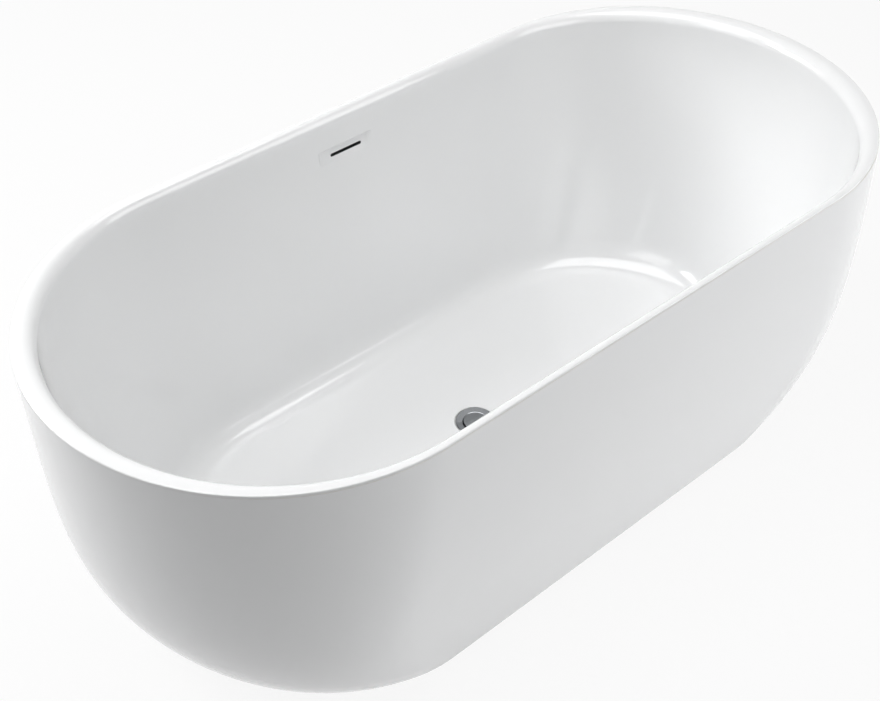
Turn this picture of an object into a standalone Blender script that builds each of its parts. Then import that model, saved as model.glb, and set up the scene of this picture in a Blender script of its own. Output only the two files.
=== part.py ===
"""Freestanding double-walled soaking bathtub. Metres, +Z up, origin on the floor under its centre."""
from math import cos, hypot, pi, radians, sin

import bmesh
import bpy
from mathutils import Matrix, Vector

# Overall size and the rim
length = 1.700            # outer length, at the rim
rim_width = 0.794         # outer width at the rim; the skirt swells a little below it
height = 0.600
rim_side_flat = 0.005     # level band along the outer edge of the rim
rim_end_flat = 0.012
rim_side_roll = 0.015     # how far in the rim's roll reaches at the sides and at the ends
rim_end_roll = 0.028
rim_drop = 0.022          # height of the roll
rim_edge = 0.002          # radius of the rim's outer edge
basin_wall = 0.005

# Skirt: its inset from the rim is lean * drop + tuck * drop ** power, with drop 0 at the rim, 1 at the base
skirt_wall = 0.0035
skirt_end_lean, skirt_end_tuck, skirt_end_power = 0.037, 0.170, 6.0
skirt_side_lean, skirt_side_tuck, skirt_side_power = -0.0465, 0.098, 1.76
skirt_base_cap = 0.280    # length of the elliptical end at the base
skirt_lift = 0.003        # base edge above the ground
skirt_base_round = 0.013
skirt_base_flange = 0.016

# Basin
floor_height = 0.078
floor_side_inset = 0.112  # rim edge to the crease where side wall and floor would meet
floor_end_inset = 0.222
floor_cap = 0.300
side_fillet = 0.046       # tangent length of the fillet between wall and floor
end_fillet = 0.062
side_curve = 1.75         # how late the side walls draw in towards the floor; 1 is a straight slope
end_curve = 1.4

# Overflow recess, moulded in the far side wall
recess_width = 0.128
recess_height = 0.030
recess_depth = 0.005
recess_top_drop = 0.069   # rim top to recess top
pocket_wall = 0.003
pocket_margin = 0.014
slot_length = 0.074
slot_height = 0.006
slot_rise = 0.014         # slot centre above the recess bottom

# Overflow chamber behind the wall, and its hose
chamber_length = 0.100
chamber_wall = 0.0015
shell_gap = 0.0012        # chamber's clearance to the skirt
throat_drop = 0.012       # chamber's duct below the recess block, down to the funnel
funnel_drop = 0.022
ear_thickness = 0.0025
ear_height = 0.022
overflow_seal_thickness = 0.0009
screw_radius = 0.002
spigot_radius = 0.0065
spigot_bore = 0.0048
spigot_length = 0.034
hose_wall = 0.0018
clamp_thickness = 0.001
clamp_width = 0.008

# Drain, centred under the basin
well_radius = 0.0405      # shallow round well that the flange lies in
well_depth = 0.003
well_wall = 0.005
flange_radius = 0.0385
flange_rise = 0.0012
drain_hole_radius = 0.0275
drain_seal_thickness = 0.0012
body_seal_thickness = 0.002
cup_radius = 0.0252
cup_depth = 0.0055
drain_tube_radius = 0.0225
drain_tube_wall = 0.003
drain_tube_end = 0.046
body_radius = 0.0285
body_wall = 0.0035
body_foot = 0.024
branch_height = 0.036
branch_reach = 0.062
outlet_radius = 0.020
outlet_wall = 0.003
outlet_end = 0.010
outlet_nut_wall = 0.006
outlet_nut_height = 0.010
spider_width = 0.004
spider_height = 0.006
spider_top = 0.060
hub_radius = 0.0095
cartridge_radius = 0.0070
cartridge_wall = 0.0015
cartridge_foot = 0.040
cartridge_top = 0.066
cap_radius = 0.0236
cap_thickness = 0.0035
cap_proud = 0.0015
cap_seal_radius = 0.0215
cap_seal_thickness = 0.0030
stem_radius = 0.0025
stem_head_radius = 0.0050
stem_head_height = 0.0490
stem_head_thickness = 0.003
spring_wire = 0.0006
spring_turns = 5

# Under-frame: a board below the basin floor, three cross bars and six levelling feet
board_thickness = 0.015
board_hole_clearance = 0.006
bar_size = 0.025
bar_wall = 0.0015
bar_half_length = 0.270
bar_end_offset = 0.130    # board end to the outer bars' centre lines
middle_bar_offset = 0.100
bar_cap_plate = 0.003
bar_cap_plug = 0.012
foot_inset = 0.022        # bar end to the foot's axis
pad_radius = 0.022
pad_height = 0.012
pad_socket = 0.006
stud_radius = 0.005
stud_top = 0.045
nut_height = 0.006
nut_radius = 0.0095
bar_screw_inset = 0.110   # bar end to the screw that holds it to the board
bar_screw_radius = 0.0025
bar_screw_head = 0.0050
bar_screw_bite = 0.010
bar_screw_head_height = 0.003

touch_gap = 0.0003        # between pieces that rest on each other
thread_clearance = 0.0003
slide_clearance = 0.0004

# Facet counts
side_segments = 4
cap_segments = 18
round_segments = 24
small_segments = 12
hose_sides = 12

# Heights and half sizes that follow from the values above
half_length = length / 2
half_width = rim_width / 2
basin_underside = floor_height - basin_wall
well_floor = floor_height - well_depth
well_underside = well_floor - well_wall
flange_underside = well_floor + drain_seal_thickness + 2 * touch_gap
body_top = well_underside - body_seal_thickness - 2 * touch_gap
board_top = basin_underside - touch_gap
board_bottom = board_top - board_thickness
bar_top = board_bottom - touch_gap
bar_bottom = bar_top - bar_size
board_half_length = half_length - floor_end_inset - end_fillet - 0.018
board_half_width = half_width - floor_side_inset - side_fillet - 0.024
recess_top = height - recess_top_drop
recess_bottom = recess_top - recess_height
slot_center = recess_bottom + slot_rise
wall_top = height - rim_drop
side_start = rim_side_flat + rim_side_roll
end_start = rim_end_flat + rim_end_roll

parts = bpy.data.collections.new("bathtub")
cutters = bpy.data.collections.new("cutters")


def material(name, color, roughness, metallic=0.0):
    made = bpy.data.materials.new(name)
    made.use_nodes = True
    shader = made.node_tree.nodes["Principled BSDF"]
    shader.inputs["Base Color"].default_value = (*color, 1)
    shader.inputs["Roughness"].default_value = roughness
    shader.inputs["Metallic"].default_value = metallic
    return made


def place(mesh_or_curve, name, look=None, collection=None):
    """Links new data as a named object, in the parts unless another collection is given."""
    made = bpy.data.objects.new(name, mesh_or_curve)
    (collection or parts).objects.link(made)
    if look:
        mesh_or_curve.materials.append(look)
    return made


def smooth(piece, angle=35):
    piece.data.shade_smooth()
    piece.data.set_sharp_from_angle(angle=radians(angle))
    return piece


def as_cutter(piece):
    """Takes an object out of the parts: it only shapes another one."""
    for holder in list(piece.users_collection):
        holder.objects.unlink(piece)
    cutters.objects.link(piece)
    piece.hide_render = True
    piece.display_type = "WIRE"
    return piece


def boolean(piece, tool, operation="DIFFERENCE"):
    step = piece.modifiers.new(f"{operation.lower()} {tool.name}", "BOOLEAN")
    step.operation = operation
    step.solver = "EXACT"
    step.object = as_cutter(tool)


def curve_to_mesh(piece):
    """Replaces a curve object with a closed mesh, so that it can be cut or can cut."""
    bpy.context.view_layer.update()
    evaluated = piece.evaluated_get(bpy.context.evaluated_depsgraph_get())
    mesh = bpy.data.meshes.new_from_object(evaluated)
    shape = bmesh.new()
    shape.from_mesh(mesh)
    bmesh.ops.remove_doubles(shape, verts=shape.verts, dist=0.00001)
    bmesh.ops.recalc_face_normals(shape, faces=shape.faces)
    shape.to_mesh(mesh)
    shape.free()
    name = piece.name
    matrix = piece.matrix_world.copy()
    bpy.data.objects.remove(piece)
    made = place(mesh, name)
    made.matrix_world = matrix
    return made


def box(name, low, high, look=None):
    """A cuboid between two corners, with its origin at its centre."""
    size = Vector(high) - Vector(low)
    shape = bmesh.new()
    bmesh.ops.create_cube(shape, size=1, matrix=Matrix.Diagonal((*size, 1)))
    mesh = bpy.data.meshes.new(name)
    shape.to_mesh(mesh)
    shape.free()
    made = place(mesh, name, look)
    made.location = (Vector(low) + Vector(high)) / 2
    return made


def cylinder(name, radius, bottom, top, look=None, segments=round_segments, x=0.0, y=0.0):
    """An upright cylinder between two heights."""
    shape = bmesh.new()
    bmesh.ops.create_cone(shape, cap_ends=True, segments=segments, radius1=radius, radius2=radius,
                          depth=top - bottom)
    mesh = bpy.data.meshes.new(name)
    shape.to_mesh(mesh)
    shape.free()
    made = place(mesh, name, look)
    made.location = (x, y, (bottom + top) / 2)
    return made


def turned(name, profile, look=None, segments=round_segments, closed=True):
    """Turns (radius, height) points about Z. They run down the outer side, top to bottom."""
    mesh = bpy.data.meshes.new(name)
    count = len(profile)
    edges = [(i, i + 1) for i in range(count - 1)]
    if closed:
        edges.append((count - 1, 0))
    mesh.from_pydata([(radius, 0, z) for radius, z in profile], edges, [])
    made = place(mesh, name, look)
    screw = made.modifiers.new("turn", "SCREW")
    screw.steps = segments
    screw.render_steps = segments
    screw.use_merge_vertices = True
    screw.merge_threshold = 0.00001
    return made


def outline(name, loops, thickness, look=None):
    """A flat piece: closed loops of (x, y) points, filled between, centred on its own XY plane."""
    curve = bpy.data.curves.new(name, "CURVE")
    curve.dimensions = "2D"
    curve.fill_mode = "BOTH"
    curve.extrude = thickness / 2
    for loop in loops:
        spline = curve.splines.new("POLY")
        spline.points.add(len(loop) - 1)
        spline.use_cyclic_u = True
        for point, (x, y) in zip(spline.points, loop):
            point.co = (x, y, 0, 1)
    return place(curve, name, look)


def tube(name, points, radius, look=None, sides=8):
    """A round wire or hose through a list of points, with an even number of sides."""
    curve = bpy.data.curves.new(name, "CURVE")
    curve.dimensions = "3D"
    curve.bevel_depth = radius
    curve.bevel_resolution = sides // 2 - 2
    curve.use_fill_caps = True
    spline = curve.splines.new("POLY")
    spline.points.add(len(points) - 1)
    for point, position in zip(spline.points, points):
        point.co = (*position, 1)
    return place(curve, name, look)


def rectangle(half_x, half_y):
    return [(half_x, half_y), (-half_x, half_y), (-half_x, -half_y), (half_x, -half_y)]


def circle(radius, segments=round_segments):
    return [(radius * cos(2 * pi * i / segments), radius * sin(2 * pi * i / segments))
            for i in range(segments)]


def around(radius, segments):
    """Corner radius of a faceted ring whose flats lie at the given radius."""
    return radius / cos(pi / segments)


def stadium(half_x, half_y, cap, side_steps):
    """Points of a long oval: straight sides and half-ellipse ends of the given length."""
    straight = half_x - cap
    points = []
    for end in (1, -1):
        for i in range(cap_segments + 1):
            angle = pi * i / cap_segments - pi / 2
            points.append((end * (straight + cap * cos(angle)), end * half_y * sin(angle)))
        for i in range(1, side_steps):
            share = 1 - 2 * i / side_steps
            points.append((end * straight * share, end * half_y))
    return points


def loft(name, rings, look, closed_bottom):
    """Skins a list of rings, top to bottom, each a (half_x, half_y, cap, z) oval."""
    shape = bmesh.new()
    loops = []
    for half_x, half_y, cap, z in rings:
        loops.append([shape.verts.new((x, y, z)) for x, y in stadium(half_x, half_y, cap, side_segments)])
    for upper, lower in zip(loops, loops[1:]):
        for i in range(len(upper)):
            j = (i + 1) % len(upper)
            shape.faces.new((upper[i], lower[i], lower[j], upper[j]))
    if closed_bottom:
        shape.faces.new(loops[-1][::-1])
    mesh = bpy.data.meshes.new(name)
    shape.to_mesh(mesh)
    shape.free()
    return place(mesh, name, look)


def solidify(piece, thickness, offset):
    step = piece.modifiers.new("wall", "SOLIDIFY")
    step.thickness = thickness
    step.offset = offset
    step.use_even_offset = True
    step.use_quality_normals = True


def bend(start, corner, end, share):
    """A point on the quadratic curve that leaves start towards corner and arrives at end."""
    return [(1 - share) ** 2 * p + 2 * share * (1 - share) * q + share ** 2 * r
            for p, q, r in zip(start, corner, end)]


def wall_inset(z, start, floor_inset, curve):
    """Inset of the basin wall from the rim's edge at a height, from the foot of the rim's roll to the floor."""
    share = (wall_top - z) / (wall_top - floor_height)
    return start + (floor_inset - start) * share ** curve


def wall_profile(flat, roll, floor_inset, fillet, curve):
    """(inset, height) points of the basin's inside, from the rim's outer edge to the flat floor."""
    start = flat + roll
    points = [(0, height), (flat, height)]
    for i in range(1, 8):
        angle = pi / 2 * i / 7
        points.append((flat + roll * sin(angle), height - rim_drop * (1 - cos(angle))))
    lean = (wall_inset(floor_height, start, floor_inset, curve)
            - wall_inset(floor_height + fillet, start, floor_inset, curve)) / fillet
    fillet_top = floor_height + fillet / hypot(1, lean)
    for i in range(1, 10):
        z = wall_top + (fillet_top - wall_top) * i / 9
        points.append((wall_inset(z, start, floor_inset, curve), z))
    last = points[-1]
    corner = (floor_inset, floor_height)
    end = (floor_inset + fillet, floor_height)
    for i in range(1, 7):
        points.append(tuple(bend(last, corner, end, i / 6)))
    return points


def side_wall(z):
    """Distance of the side wall's inner face from the centre plane."""
    return half_width - wall_inset(z, side_start, floor_side_inset, side_curve)


def skirt_face(z):
    """Distance of the skirt's inner face from the centre plane, at the middle of its side."""
    return half_width - skirt_insets(z)[1] - skirt_wall


def gap_middle(z):
    """Middle of the gap between basin and skirt."""
    return (side_wall(z) + basin_wall + skirt_face(z)) / 2


def extruded_yz(name, points, half_x):
    """A prism along X over (y, z) points."""
    piece = outline(name, [points], 2 * half_x)
    piece.rotation_euler = (pi / 2, 0, pi / 2)
    return curve_to_mesh(piece)


def pocket_back():
    """Rear face of the block behind the overflow recess."""
    return side_wall(recess_top) + recess_depth + pocket_wall


def slot_tool(name, half_x, radius, near, far, z):
    """A round-ended bar along Y, between two distances from the centre plane."""
    straight = half_x - radius
    points = []
    for end in (1, -1):
        for i in range(9):
            angle = pi * i / 8 - pi / 2
            points.append((end * (straight + radius * cos(angle)), end * radius * sin(angle)))
    piece = outline(name, [points], far - near)
    piece.rotation_euler = (pi / 2, 0, 0)
    piece.location = (0, (near + far) / 2, z)
    return curve_to_mesh(piece)


def rod_along_y(name, radius, near, far, x, z, look=None, segments=small_segments):
    piece = cylinder(name, radius, -(far - near) / 2, (far - near) / 2, look, segments)
    piece.rotation_euler = (pi / 2, 0, 0)
    piece.location = (x, (near + far) / 2, z)
    return piece


def screw_x():
    """Distance of the overflow chamber's screws from its centre."""
    return recess_width / 2 + pocket_margin / 2


def build_inner_shell(look):
    sides = wall_profile(rim_side_flat, rim_side_roll, floor_side_inset, side_fillet, side_curve)
    ends = wall_profile(rim_end_flat, rim_end_roll, floor_end_inset, end_fillet, end_curve)
    rings = []
    for (side, z_side), (end, z_end) in zip(sides, ends):
        drop = (height - z_side) / (height - floor_height)
        cap = (half_width - side) * (1 - drop) + floor_cap * (half_width - side) * drop / (
            half_width - floor_side_inset)
        rings.append((half_length - end, half_width - side, cap, (z_side + z_end) / 2))
    shell = loft("inner_shell", rings, look, True)
    solidify(shell, basin_wall, 1)
    edge = shell.modifiers.new("rim edge", "BEVEL")
    edge.width = rim_edge
    edge.segments = 2
    edge.limit_method = "ANGLE"
    edge.angle_limit = radians(60)

    bottom = recess_bottom - pocket_margin
    top = recess_top + pocket_margin
    middle = basin_wall / 2
    block = extruded_yz("pocket block", [
        (side_wall(bottom) + middle, bottom), (pocket_back(), bottom),
        (pocket_back(), top), (side_wall(top) + middle, top)], recess_width / 2 + pocket_margin)
    boolean(shell, block, "UNION")
    boolean(shell, cylinder("well block", well_radius + well_wall, well_underside,
                            floor_height - basin_wall / 2), "UNION")
    recess = extruded_yz("recess", [
        (side_wall(recess_bottom) - recess_height, recess_bottom),
        (side_wall(recess_bottom), recess_bottom),
        (side_wall(recess_top) + recess_depth, recess_top),
        (side_wall(recess_top) - recess_height, recess_top)], recess_width / 2)
    boolean(shell, recess)
    boolean(shell, slot_tool("slot", slot_length / 2, slot_height / 2,
                             side_wall(slot_center) - 0.002, pocket_back() + 0.002, slot_center))
    boolean(shell, cylinder("well", well_radius, well_floor, floor_height + 0.01))
    boolean(shell, cylinder("drain hole", drain_hole_radius, well_underside - 0.01, floor_height))
    for side in (-1, 1):
        boolean(shell, rod_along_y("pilot hole", screw_radius + thread_clearance,
                                   pocket_back() - 0.006, pocket_back() + 0.01,
                                   side * screw_x(), slot_center))
    return smooth(shell)


def skirt_insets(z):
    """Insets of the skirt's ends and sides from the rim's edge at a height."""
    drop = (height - z) / height
    return (skirt_end_lean * drop + skirt_end_tuck * drop ** skirt_end_power,
            skirt_side_lean * drop + skirt_side_tuck * drop ** skirt_side_power)


def skirt_ring(insets, z):
    drop = (height - z) / height
    end, side = insets
    cap = (half_width - side) * (1 - drop) + skirt_base_cap * drop
    return (half_length - end, half_width - side, cap, z)


def build_outer_shell(look):
    top = height - basin_wall - touch_gap
    foot = skirt_lift + skirt_base_round
    rings = []
    steps = 10
    for i in range(steps + 1):
        z = top + (foot - top) * (1 - (1 - i / steps) ** 1.5)
        rings.append(skirt_ring(skirt_insets(z), z))
    start = skirt_insets(foot)
    above = skirt_insets(foot + skirt_base_round)
    corner = [2 * low - high for low, high in zip(start, above)]
    end = [inset + skirt_base_round for inset in corner]
    for i in range(1, 5):
        *insets, z = bend((*start, foot), (*corner, skirt_lift), (*end, skirt_lift), i / 4)
        rings.append(skirt_ring(insets, z))
    flange = [inset + skirt_base_flange for inset in end]
    rings.append(skirt_ring(flange, skirt_lift))
    shell = loft("outer_shell", rings, look, False)
    solidify(shell, skirt_wall, -1)
    return smooth(shell)


def build_overflow(chamber_look, seal_look, steel_look, hose_look):
    front = pocket_back() + overflow_seal_thickness + 2 * touch_gap
    low = recess_bottom - pocket_margin / 2
    high = recess_top + pocket_margin / 2
    back = min(skirt_face(low), skirt_face(high)) - shell_gap
    half = chamber_length / 2
    pocket_foot = recess_bottom - pocket_margin
    funnel_top = pocket_foot - throat_drop
    funnel_foot = funnel_top - funnel_drop
    funnel_half = spigot_radius + chamber_wall
    spigot_y = gap_middle(funnel_foot - spigot_length / 2)
    funnel_front = spigot_y - spigot_radius

    chamber = box("overflow_chamber", (-half, front, low), (half, back, high), chamber_look)
    ears = box("ears", (-screw_x() - pocket_margin / 2, front, slot_center - ear_height / 2),
               (screw_x() + pocket_margin / 2, front + ear_thickness, slot_center + ear_height / 2))
    boolean(chamber, ears, "UNION")
    throat = box("throat", (-funnel_half, front, funnel_foot + chamber_wall), (funnel_half, back, low + 0.002))
    boolean(chamber, throat, "UNION")
    funnel = box("funnel", (-funnel_half, funnel_front, funnel_foot), (funnel_half, back, funnel_top))
    boolean(chamber, funnel, "UNION")
    spigot = cylinder("spigot", spigot_radius, funnel_foot - spigot_length, funnel_foot + chamber_wall / 2,
                      segments=small_segments, y=spigot_y)
    boolean(chamber, spigot, "UNION")
    inside = chamber_wall
    boolean(chamber, box("chamber hollow", (-half + inside, front - 0.005, low + inside),
                         (half - inside, back - inside, high - inside)))
    boolean(chamber, box("throat hollow", (-funnel_half + inside, front + inside, funnel_foot + inside),
                         (funnel_half - inside, back - inside, low + 2 * inside)))
    boolean(chamber, box("funnel hollow", (-funnel_half + inside, funnel_front + inside, funnel_foot + inside),
                         (funnel_half - inside, back - inside, funnel_top - inside)))
    boolean(chamber, cylinder("spigot bore", spigot_bore, funnel_foot - spigot_length - 0.01,
                              funnel_foot + 2 * inside, segments=small_segments, y=spigot_y))
    for side in (-1, 1):
        boolean(chamber, rod_along_y("ear hole", screw_radius + thread_clearance, front - 0.01,
                                     front + 0.02, side * screw_x(), slot_center))

    seal_middle = (low + high) / 2
    seal_half_height = (high - low) / 2
    seal = outline("overflow_seal", [rectangle(half, seal_half_height),
                                     rectangle(half - 2 * chamber_wall, seal_half_height - 2 * chamber_wall)],
                   overflow_seal_thickness, seal_look)
    seal.rotation_euler = (pi / 2, 0, 0)
    seal.location = (0, pocket_back() + touch_gap + overflow_seal_thickness / 2, seal_middle)

    for side, word in ((-1, "left"), (1, "right")):
        shank = rod_along_y(f"overflow_screw_{word}", screw_radius, pocket_back() - 0.0055,
                            front + ear_thickness + touch_gap + 0.001, side * screw_x(), slot_center,
                            steel_look)
        head = rod_along_y("screw head", 2 * screw_radius, front + ear_thickness + touch_gap,
                           front + ear_thickness + touch_gap + screw_radius, side * screw_x(),
                           slot_center)
        boolean(shank, head, "UNION")
        smooth(shank)

    hose_inner = around(spigot_radius + thread_clearance, hose_sides)
    hose_outer = hose_inner + hose_wall
    start = Vector((0, spigot_y, funnel_foot - touch_gap))
    finish = Vector((0, body_radius + touch_gap, branch_height))
    route = [start, start - Vector((0, 0, spigot_length)), start - Vector((0, 0, 1.5 * spigot_length))]
    route += [Vector((0, gap_middle(share * start.z), share * start.z)) for share in (0.78, 0.55, 0.33)]
    route += [Vector((0, half_width - 0.080, floor_height + 0.012)),
             Vector((0, half_width - 0.120, branch_height + 0.016)),
             Vector((0, half_width - 0.180, branch_height)),
             Vector((0, branch_reach + 0.030, branch_height)),
             Vector((0, branch_reach, branch_height)), finish]
    path = smooth_path(route, 3)
    hose = curve_to_mesh(tube("overflow_hose", path, hose_outer, sides=hose_sides))
    hose.data.materials.clear()
    hose.data.materials.append(hose_look)
    lengthened = [path[0] + (path[0] - path[1]).normalized() * 0.004] + path[1:-1]
    lengthened.append(path[-1] + (path[-1] - path[-2]).normalized() * 0.004)
    bore = curve_to_mesh(tube("hose bore", lengthened, hose_inner, sides=hose_sides))
    boolean(hose, bore)
    smooth(hose, 60)

    ring_inner = around(hose_outer + touch_gap, round_segments)
    ring_outer = ring_inner + clamp_thickness
    half_band = clamp_width / 2
    profile = [(ring_outer, half_band), (ring_outer, -half_band), (ring_inner, -half_band),
               (ring_inner, half_band)]
    for word, position, tilt in (("top", start - Vector((0, 0, spigot_length / 2)), 0),
                                 ("bottom", Vector((0, branch_reach - clamp_width, branch_height)), pi / 2)):
        clamp = turned(f"hose_clamp_{word}", profile, steel_look)
        clamp.location = position
        clamp.rotation_euler = (tilt, 0, 0)
        housing = box("clamp housing", (ring_inner + clamp_thickness / 2, -0.005, -half_band),
                      (ring_outer + 0.005, 0.005, half_band))
        housing.parent = clamp
        boolean(clamp, housing, "UNION")
        smooth(clamp)


def smooth_path(route, steps):
    """Points of a Catmull-Rom curve through the route's own points."""
    path = []
    for i in range(len(route) - 1):
        before = route[max(i - 1, 0)]
        after = route[min(i + 2, len(route) - 1)]
        start, end = route[i], route[i + 1]
        for step in range(steps):
            t = step / steps
            path.append(0.5 * (2 * start + (end - before) * t
                               + (2 * before - 5 * start + 4 * end - after) * t * t
                               + (3 * start - before - 3 * end + after) * t ** 3))
    path.append(route[-1])
    return path


def build_drain(chrome, seal_look, plastic, steel_look):
    z = floor_height
    seat = z - cup_depth
    tube_bore = drain_tube_radius - drain_tube_wall
    cup_outer = drain_hole_radius - 0.0005
    flange = turned("drain_flange", [
        (flange_radius - 0.001, z + flange_rise), (flange_radius, z + flange_rise - 0.0008),
        (flange_radius, flange_underside), (cup_outer, flange_underside),
        (cup_outer, seat - 0.0023), (drain_tube_radius, seat - 0.0035),
        (drain_tube_radius, drain_tube_end), (tube_bore, drain_tube_end),
        (tube_bore, seat - 0.0005), (tube_bore + 0.001, seat), (cup_radius - 0.0006, seat),
        (cup_radius, z - 0.0008), (cup_radius + 0.0013, z - 0.0002)], chrome, 32)
    for turn, word in ((0, "long"), (pi / 2, "cross")):
        spoke = box(f"{word} spoke", (-tube_bore - 0.001, -spider_width / 2, spider_top - spider_height),
                    (tube_bore + 0.001, spider_width / 2, spider_top))
        spoke.rotation_euler = (0, 0, turn)
        boolean(flange, spoke, "UNION")
    boolean(flange, cylinder("hub", hub_radius, spider_top - spider_height, spider_top,
                             segments=small_segments), "UNION")
    boolean(flange, cylinder("hub bore", cartridge_radius + thread_clearance,
                             spider_top - 2 * spider_height, spider_top + 0.004, segments=small_segments))
    smooth(flange)

    seal_inner = drain_hole_radius + 0.0015
    seal_outer = flange_radius - 0.001
    upper = well_floor + touch_gap + drain_seal_thickness
    turned("drain_seal_upper", [(seal_outer, upper), (seal_outer, well_floor + touch_gap),
                                (seal_inner, well_floor + touch_gap), (seal_inner, upper)], seal_look)
    lower = body_top + touch_gap
    turned("drain_seal_lower", [(seal_outer, lower + body_seal_thickness), (seal_outer, lower),
                                (seal_inner, lower), (seal_inner, lower + body_seal_thickness)], seal_look)

    body_bore = body_radius - body_wall
    thread_bore = drain_tube_radius + thread_clearance
    body = turned("drain_body", [
        (flange_radius - 0.001, body_top), (flange_radius - 0.001, body_top - 0.003),
        (body_radius, body_top - 0.003), (body_radius, body_foot), (outlet_radius, body_foot),
        (outlet_radius, outlet_end), (outlet_radius - outlet_wall, outlet_end),
        (outlet_radius - outlet_wall, body_foot + 0.002), (body_bore, body_foot + 0.002),
        (body_bore, drain_tube_end - 0.001), (thread_bore, drain_tube_end - 0.001),
        (thread_bore, body_top)], plastic)
    branch = rod_along_y("branch", spigot_radius, body_radius - body_wall / 2, branch_reach, 0, branch_height)
    boolean(body, branch, "UNION")
    boolean(body, rod_along_y("branch bore", spigot_bore, body_bore - 0.01, branch_reach + 0.01, 0,
                              branch_height))
    smooth(body)

    nut_bore = outlet_radius + slide_clearance
    nut = outline("outlet_nut", [circle(nut_bore + outlet_nut_wall, 8), circle(nut_bore)],
                  outlet_nut_height, plastic)
    nut.location.z = body_foot - touch_gap - outlet_nut_height / 2

    shell_bore = cartridge_radius - cartridge_wall
    mouth = stem_radius + slide_clearance
    smooth(turned("stopper_cartridge", [
        (cartridge_radius, cartridge_top), (cartridge_radius, cartridge_foot), (mouth, cartridge_foot),
        (mouth, cartridge_foot + cartridge_wall), (shell_bore, cartridge_foot + cartridge_wall),
        (shell_bore, cartridge_top - cartridge_wall), (mouth, cartridge_top - cartridge_wall),
        (mouth, cartridge_top)], plastic, 24))

    cap_top = z + cap_proud
    cap_bottom = cap_top - cap_thickness
    cap = turned("stopper_cap", [
        (0, cap_top + 0.0004), (cap_radius * 0.6, cap_top + 0.0002), (cap_radius - 0.0012, cap_top - 0.0002),
        (cap_radius, cap_top - 0.0014), (cap_radius - 0.0004, cap_bottom), (0.0045, cap_bottom),
        (0.0045, cap_bottom - 0.004), (0, cap_bottom - 0.004)], chrome, 32, closed=False)
    smooth(cap)

    ring = cap_seal_thickness / 2
    seal_z = cap_bottom - touch_gap - ring
    smooth(turned("stopper_seal", [
        (cap_seal_radius + ring * sin(2 * pi * i / 8), seal_z + ring * cos(2 * pi * i / 8))
        for i in range(8)], seal_look, round_segments))

    stem_top = cap_bottom - 0.004 - touch_gap
    head_top = stem_head_height + stem_head_thickness
    smooth(turned("stopper_stem", [
        (0, stem_top), (stem_radius, stem_top), (stem_radius, head_top), (stem_head_radius, head_top),
        (stem_head_radius, stem_head_height), (0, stem_head_height)], steel_look, small_segments, closed=False))

    low = cartridge_foot + cartridge_wall + touch_gap + spring_wire
    high = stem_head_height - touch_gap - spring_wire
    coil_radius = shell_bore - spring_wire - slide_clearance
    count = spring_turns * 8
    coil = []
    for i in range(count + 1):
        angle = 2 * pi * i / 8
        coil.append((coil_radius * cos(angle), coil_radius * sin(angle), low + (high - low) * i / count))
    tube("stopper_spring", coil, spring_wire, steel_look, 6)


def build_board(look):
    hole = well_radius + well_wall + board_hole_clearance
    edge = stadium(board_half_length, board_half_width, board_half_width, 1)
    board = outline("base_board", [edge, circle(hole)], board_thickness)
    board.location.z = (board_top + board_bottom) / 2
    solid = curve_to_mesh(board)
    solid.data.materials.clear()
    solid.data.materials.append(look)
    return solid


def build_bar(word, x, board, steel_look, cap_look, rubber_look, zinc_look):
    """A cross bar under the board, with end caps, two feet and the two screws that hold it."""
    half = bar_size / 2
    middle = (bar_top + bar_bottom) / 2
    hollow = half - bar_wall
    bar = outline(f"cross_bar_{word}", [rectangle(half, half), rectangle(hollow, hollow)],
                  2 * bar_half_length)
    bar.rotation_euler = (pi / 2, 0, 0)
    bar.location = (x, 0, middle)
    bar = curve_to_mesh(bar)
    bar.data.materials.clear()
    bar.data.materials.append(steel_look)

    for side, place_word in ((-1, "near"), (1, "far")):
        end = side * bar_half_length
        plate_near = end + side * touch_gap
        plate_far = plate_near + side * bar_cap_plate
        plug = hollow - touch_gap
        cap = box(f"bar_cap_{word}_{place_word}", (x - half, min(plate_near, plate_far), bar_bottom),
                  (x + half, max(plate_near, plate_far), bar_top), cap_look)
        plug_end = end - side * bar_cap_plug
        insert = box("plug", (x - plug, min(plug_end, plate_near + side * 0.001), middle - plug),
                     (x + plug, max(plug_end, plate_near + side * 0.001), middle + plug))
        boolean(cap, insert, "UNION")

        foot_y = end - side * foot_inset
        boolean(bar, cylinder("stud hole", stud_radius + thread_clearance, bar_bottom - 0.01,
                              bar_bottom + 2 * bar_wall, segments=small_segments, x=x, y=foot_y))
        build_foot(f"{word}_{place_word}", x, foot_y, rubber_look, zinc_look)

        screw_y = end - side * bar_screw_inset
        boolean(bar, cylinder("screw hole", bar_screw_radius + thread_clearance, bar_top - 2 * bar_wall,
                              bar_top + 0.01, segments=small_segments, x=x, y=screw_y))
        boolean(bar, cylinder("driver hole", bar_screw_head + thread_clearance, bar_bottom - 0.01,
                              bar_bottom + 2 * bar_wall, segments=small_segments, x=x, y=screw_y))
        bite = board_bottom + bar_screw_bite
        boolean(board, cylinder("pilot", bar_screw_radius + thread_clearance, board_bottom - 0.01,
                                bite + touch_gap, segments=small_segments, x=x, y=screw_y))
        head_top = bar_top - bar_wall - touch_gap
        turned_screw = turned(f"bar_screw_{word}_{place_word}", [
            (0, bite), (bar_screw_radius, bite), (bar_screw_radius, head_top), (bar_screw_head, head_top),
            (bar_screw_head, head_top - bar_screw_head_height), (0, head_top - bar_screw_head_height)],
            zinc_look, small_segments, closed=False)
        turned_screw.location = (x, screw_y, 0)
        smooth(turned_screw)


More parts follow.
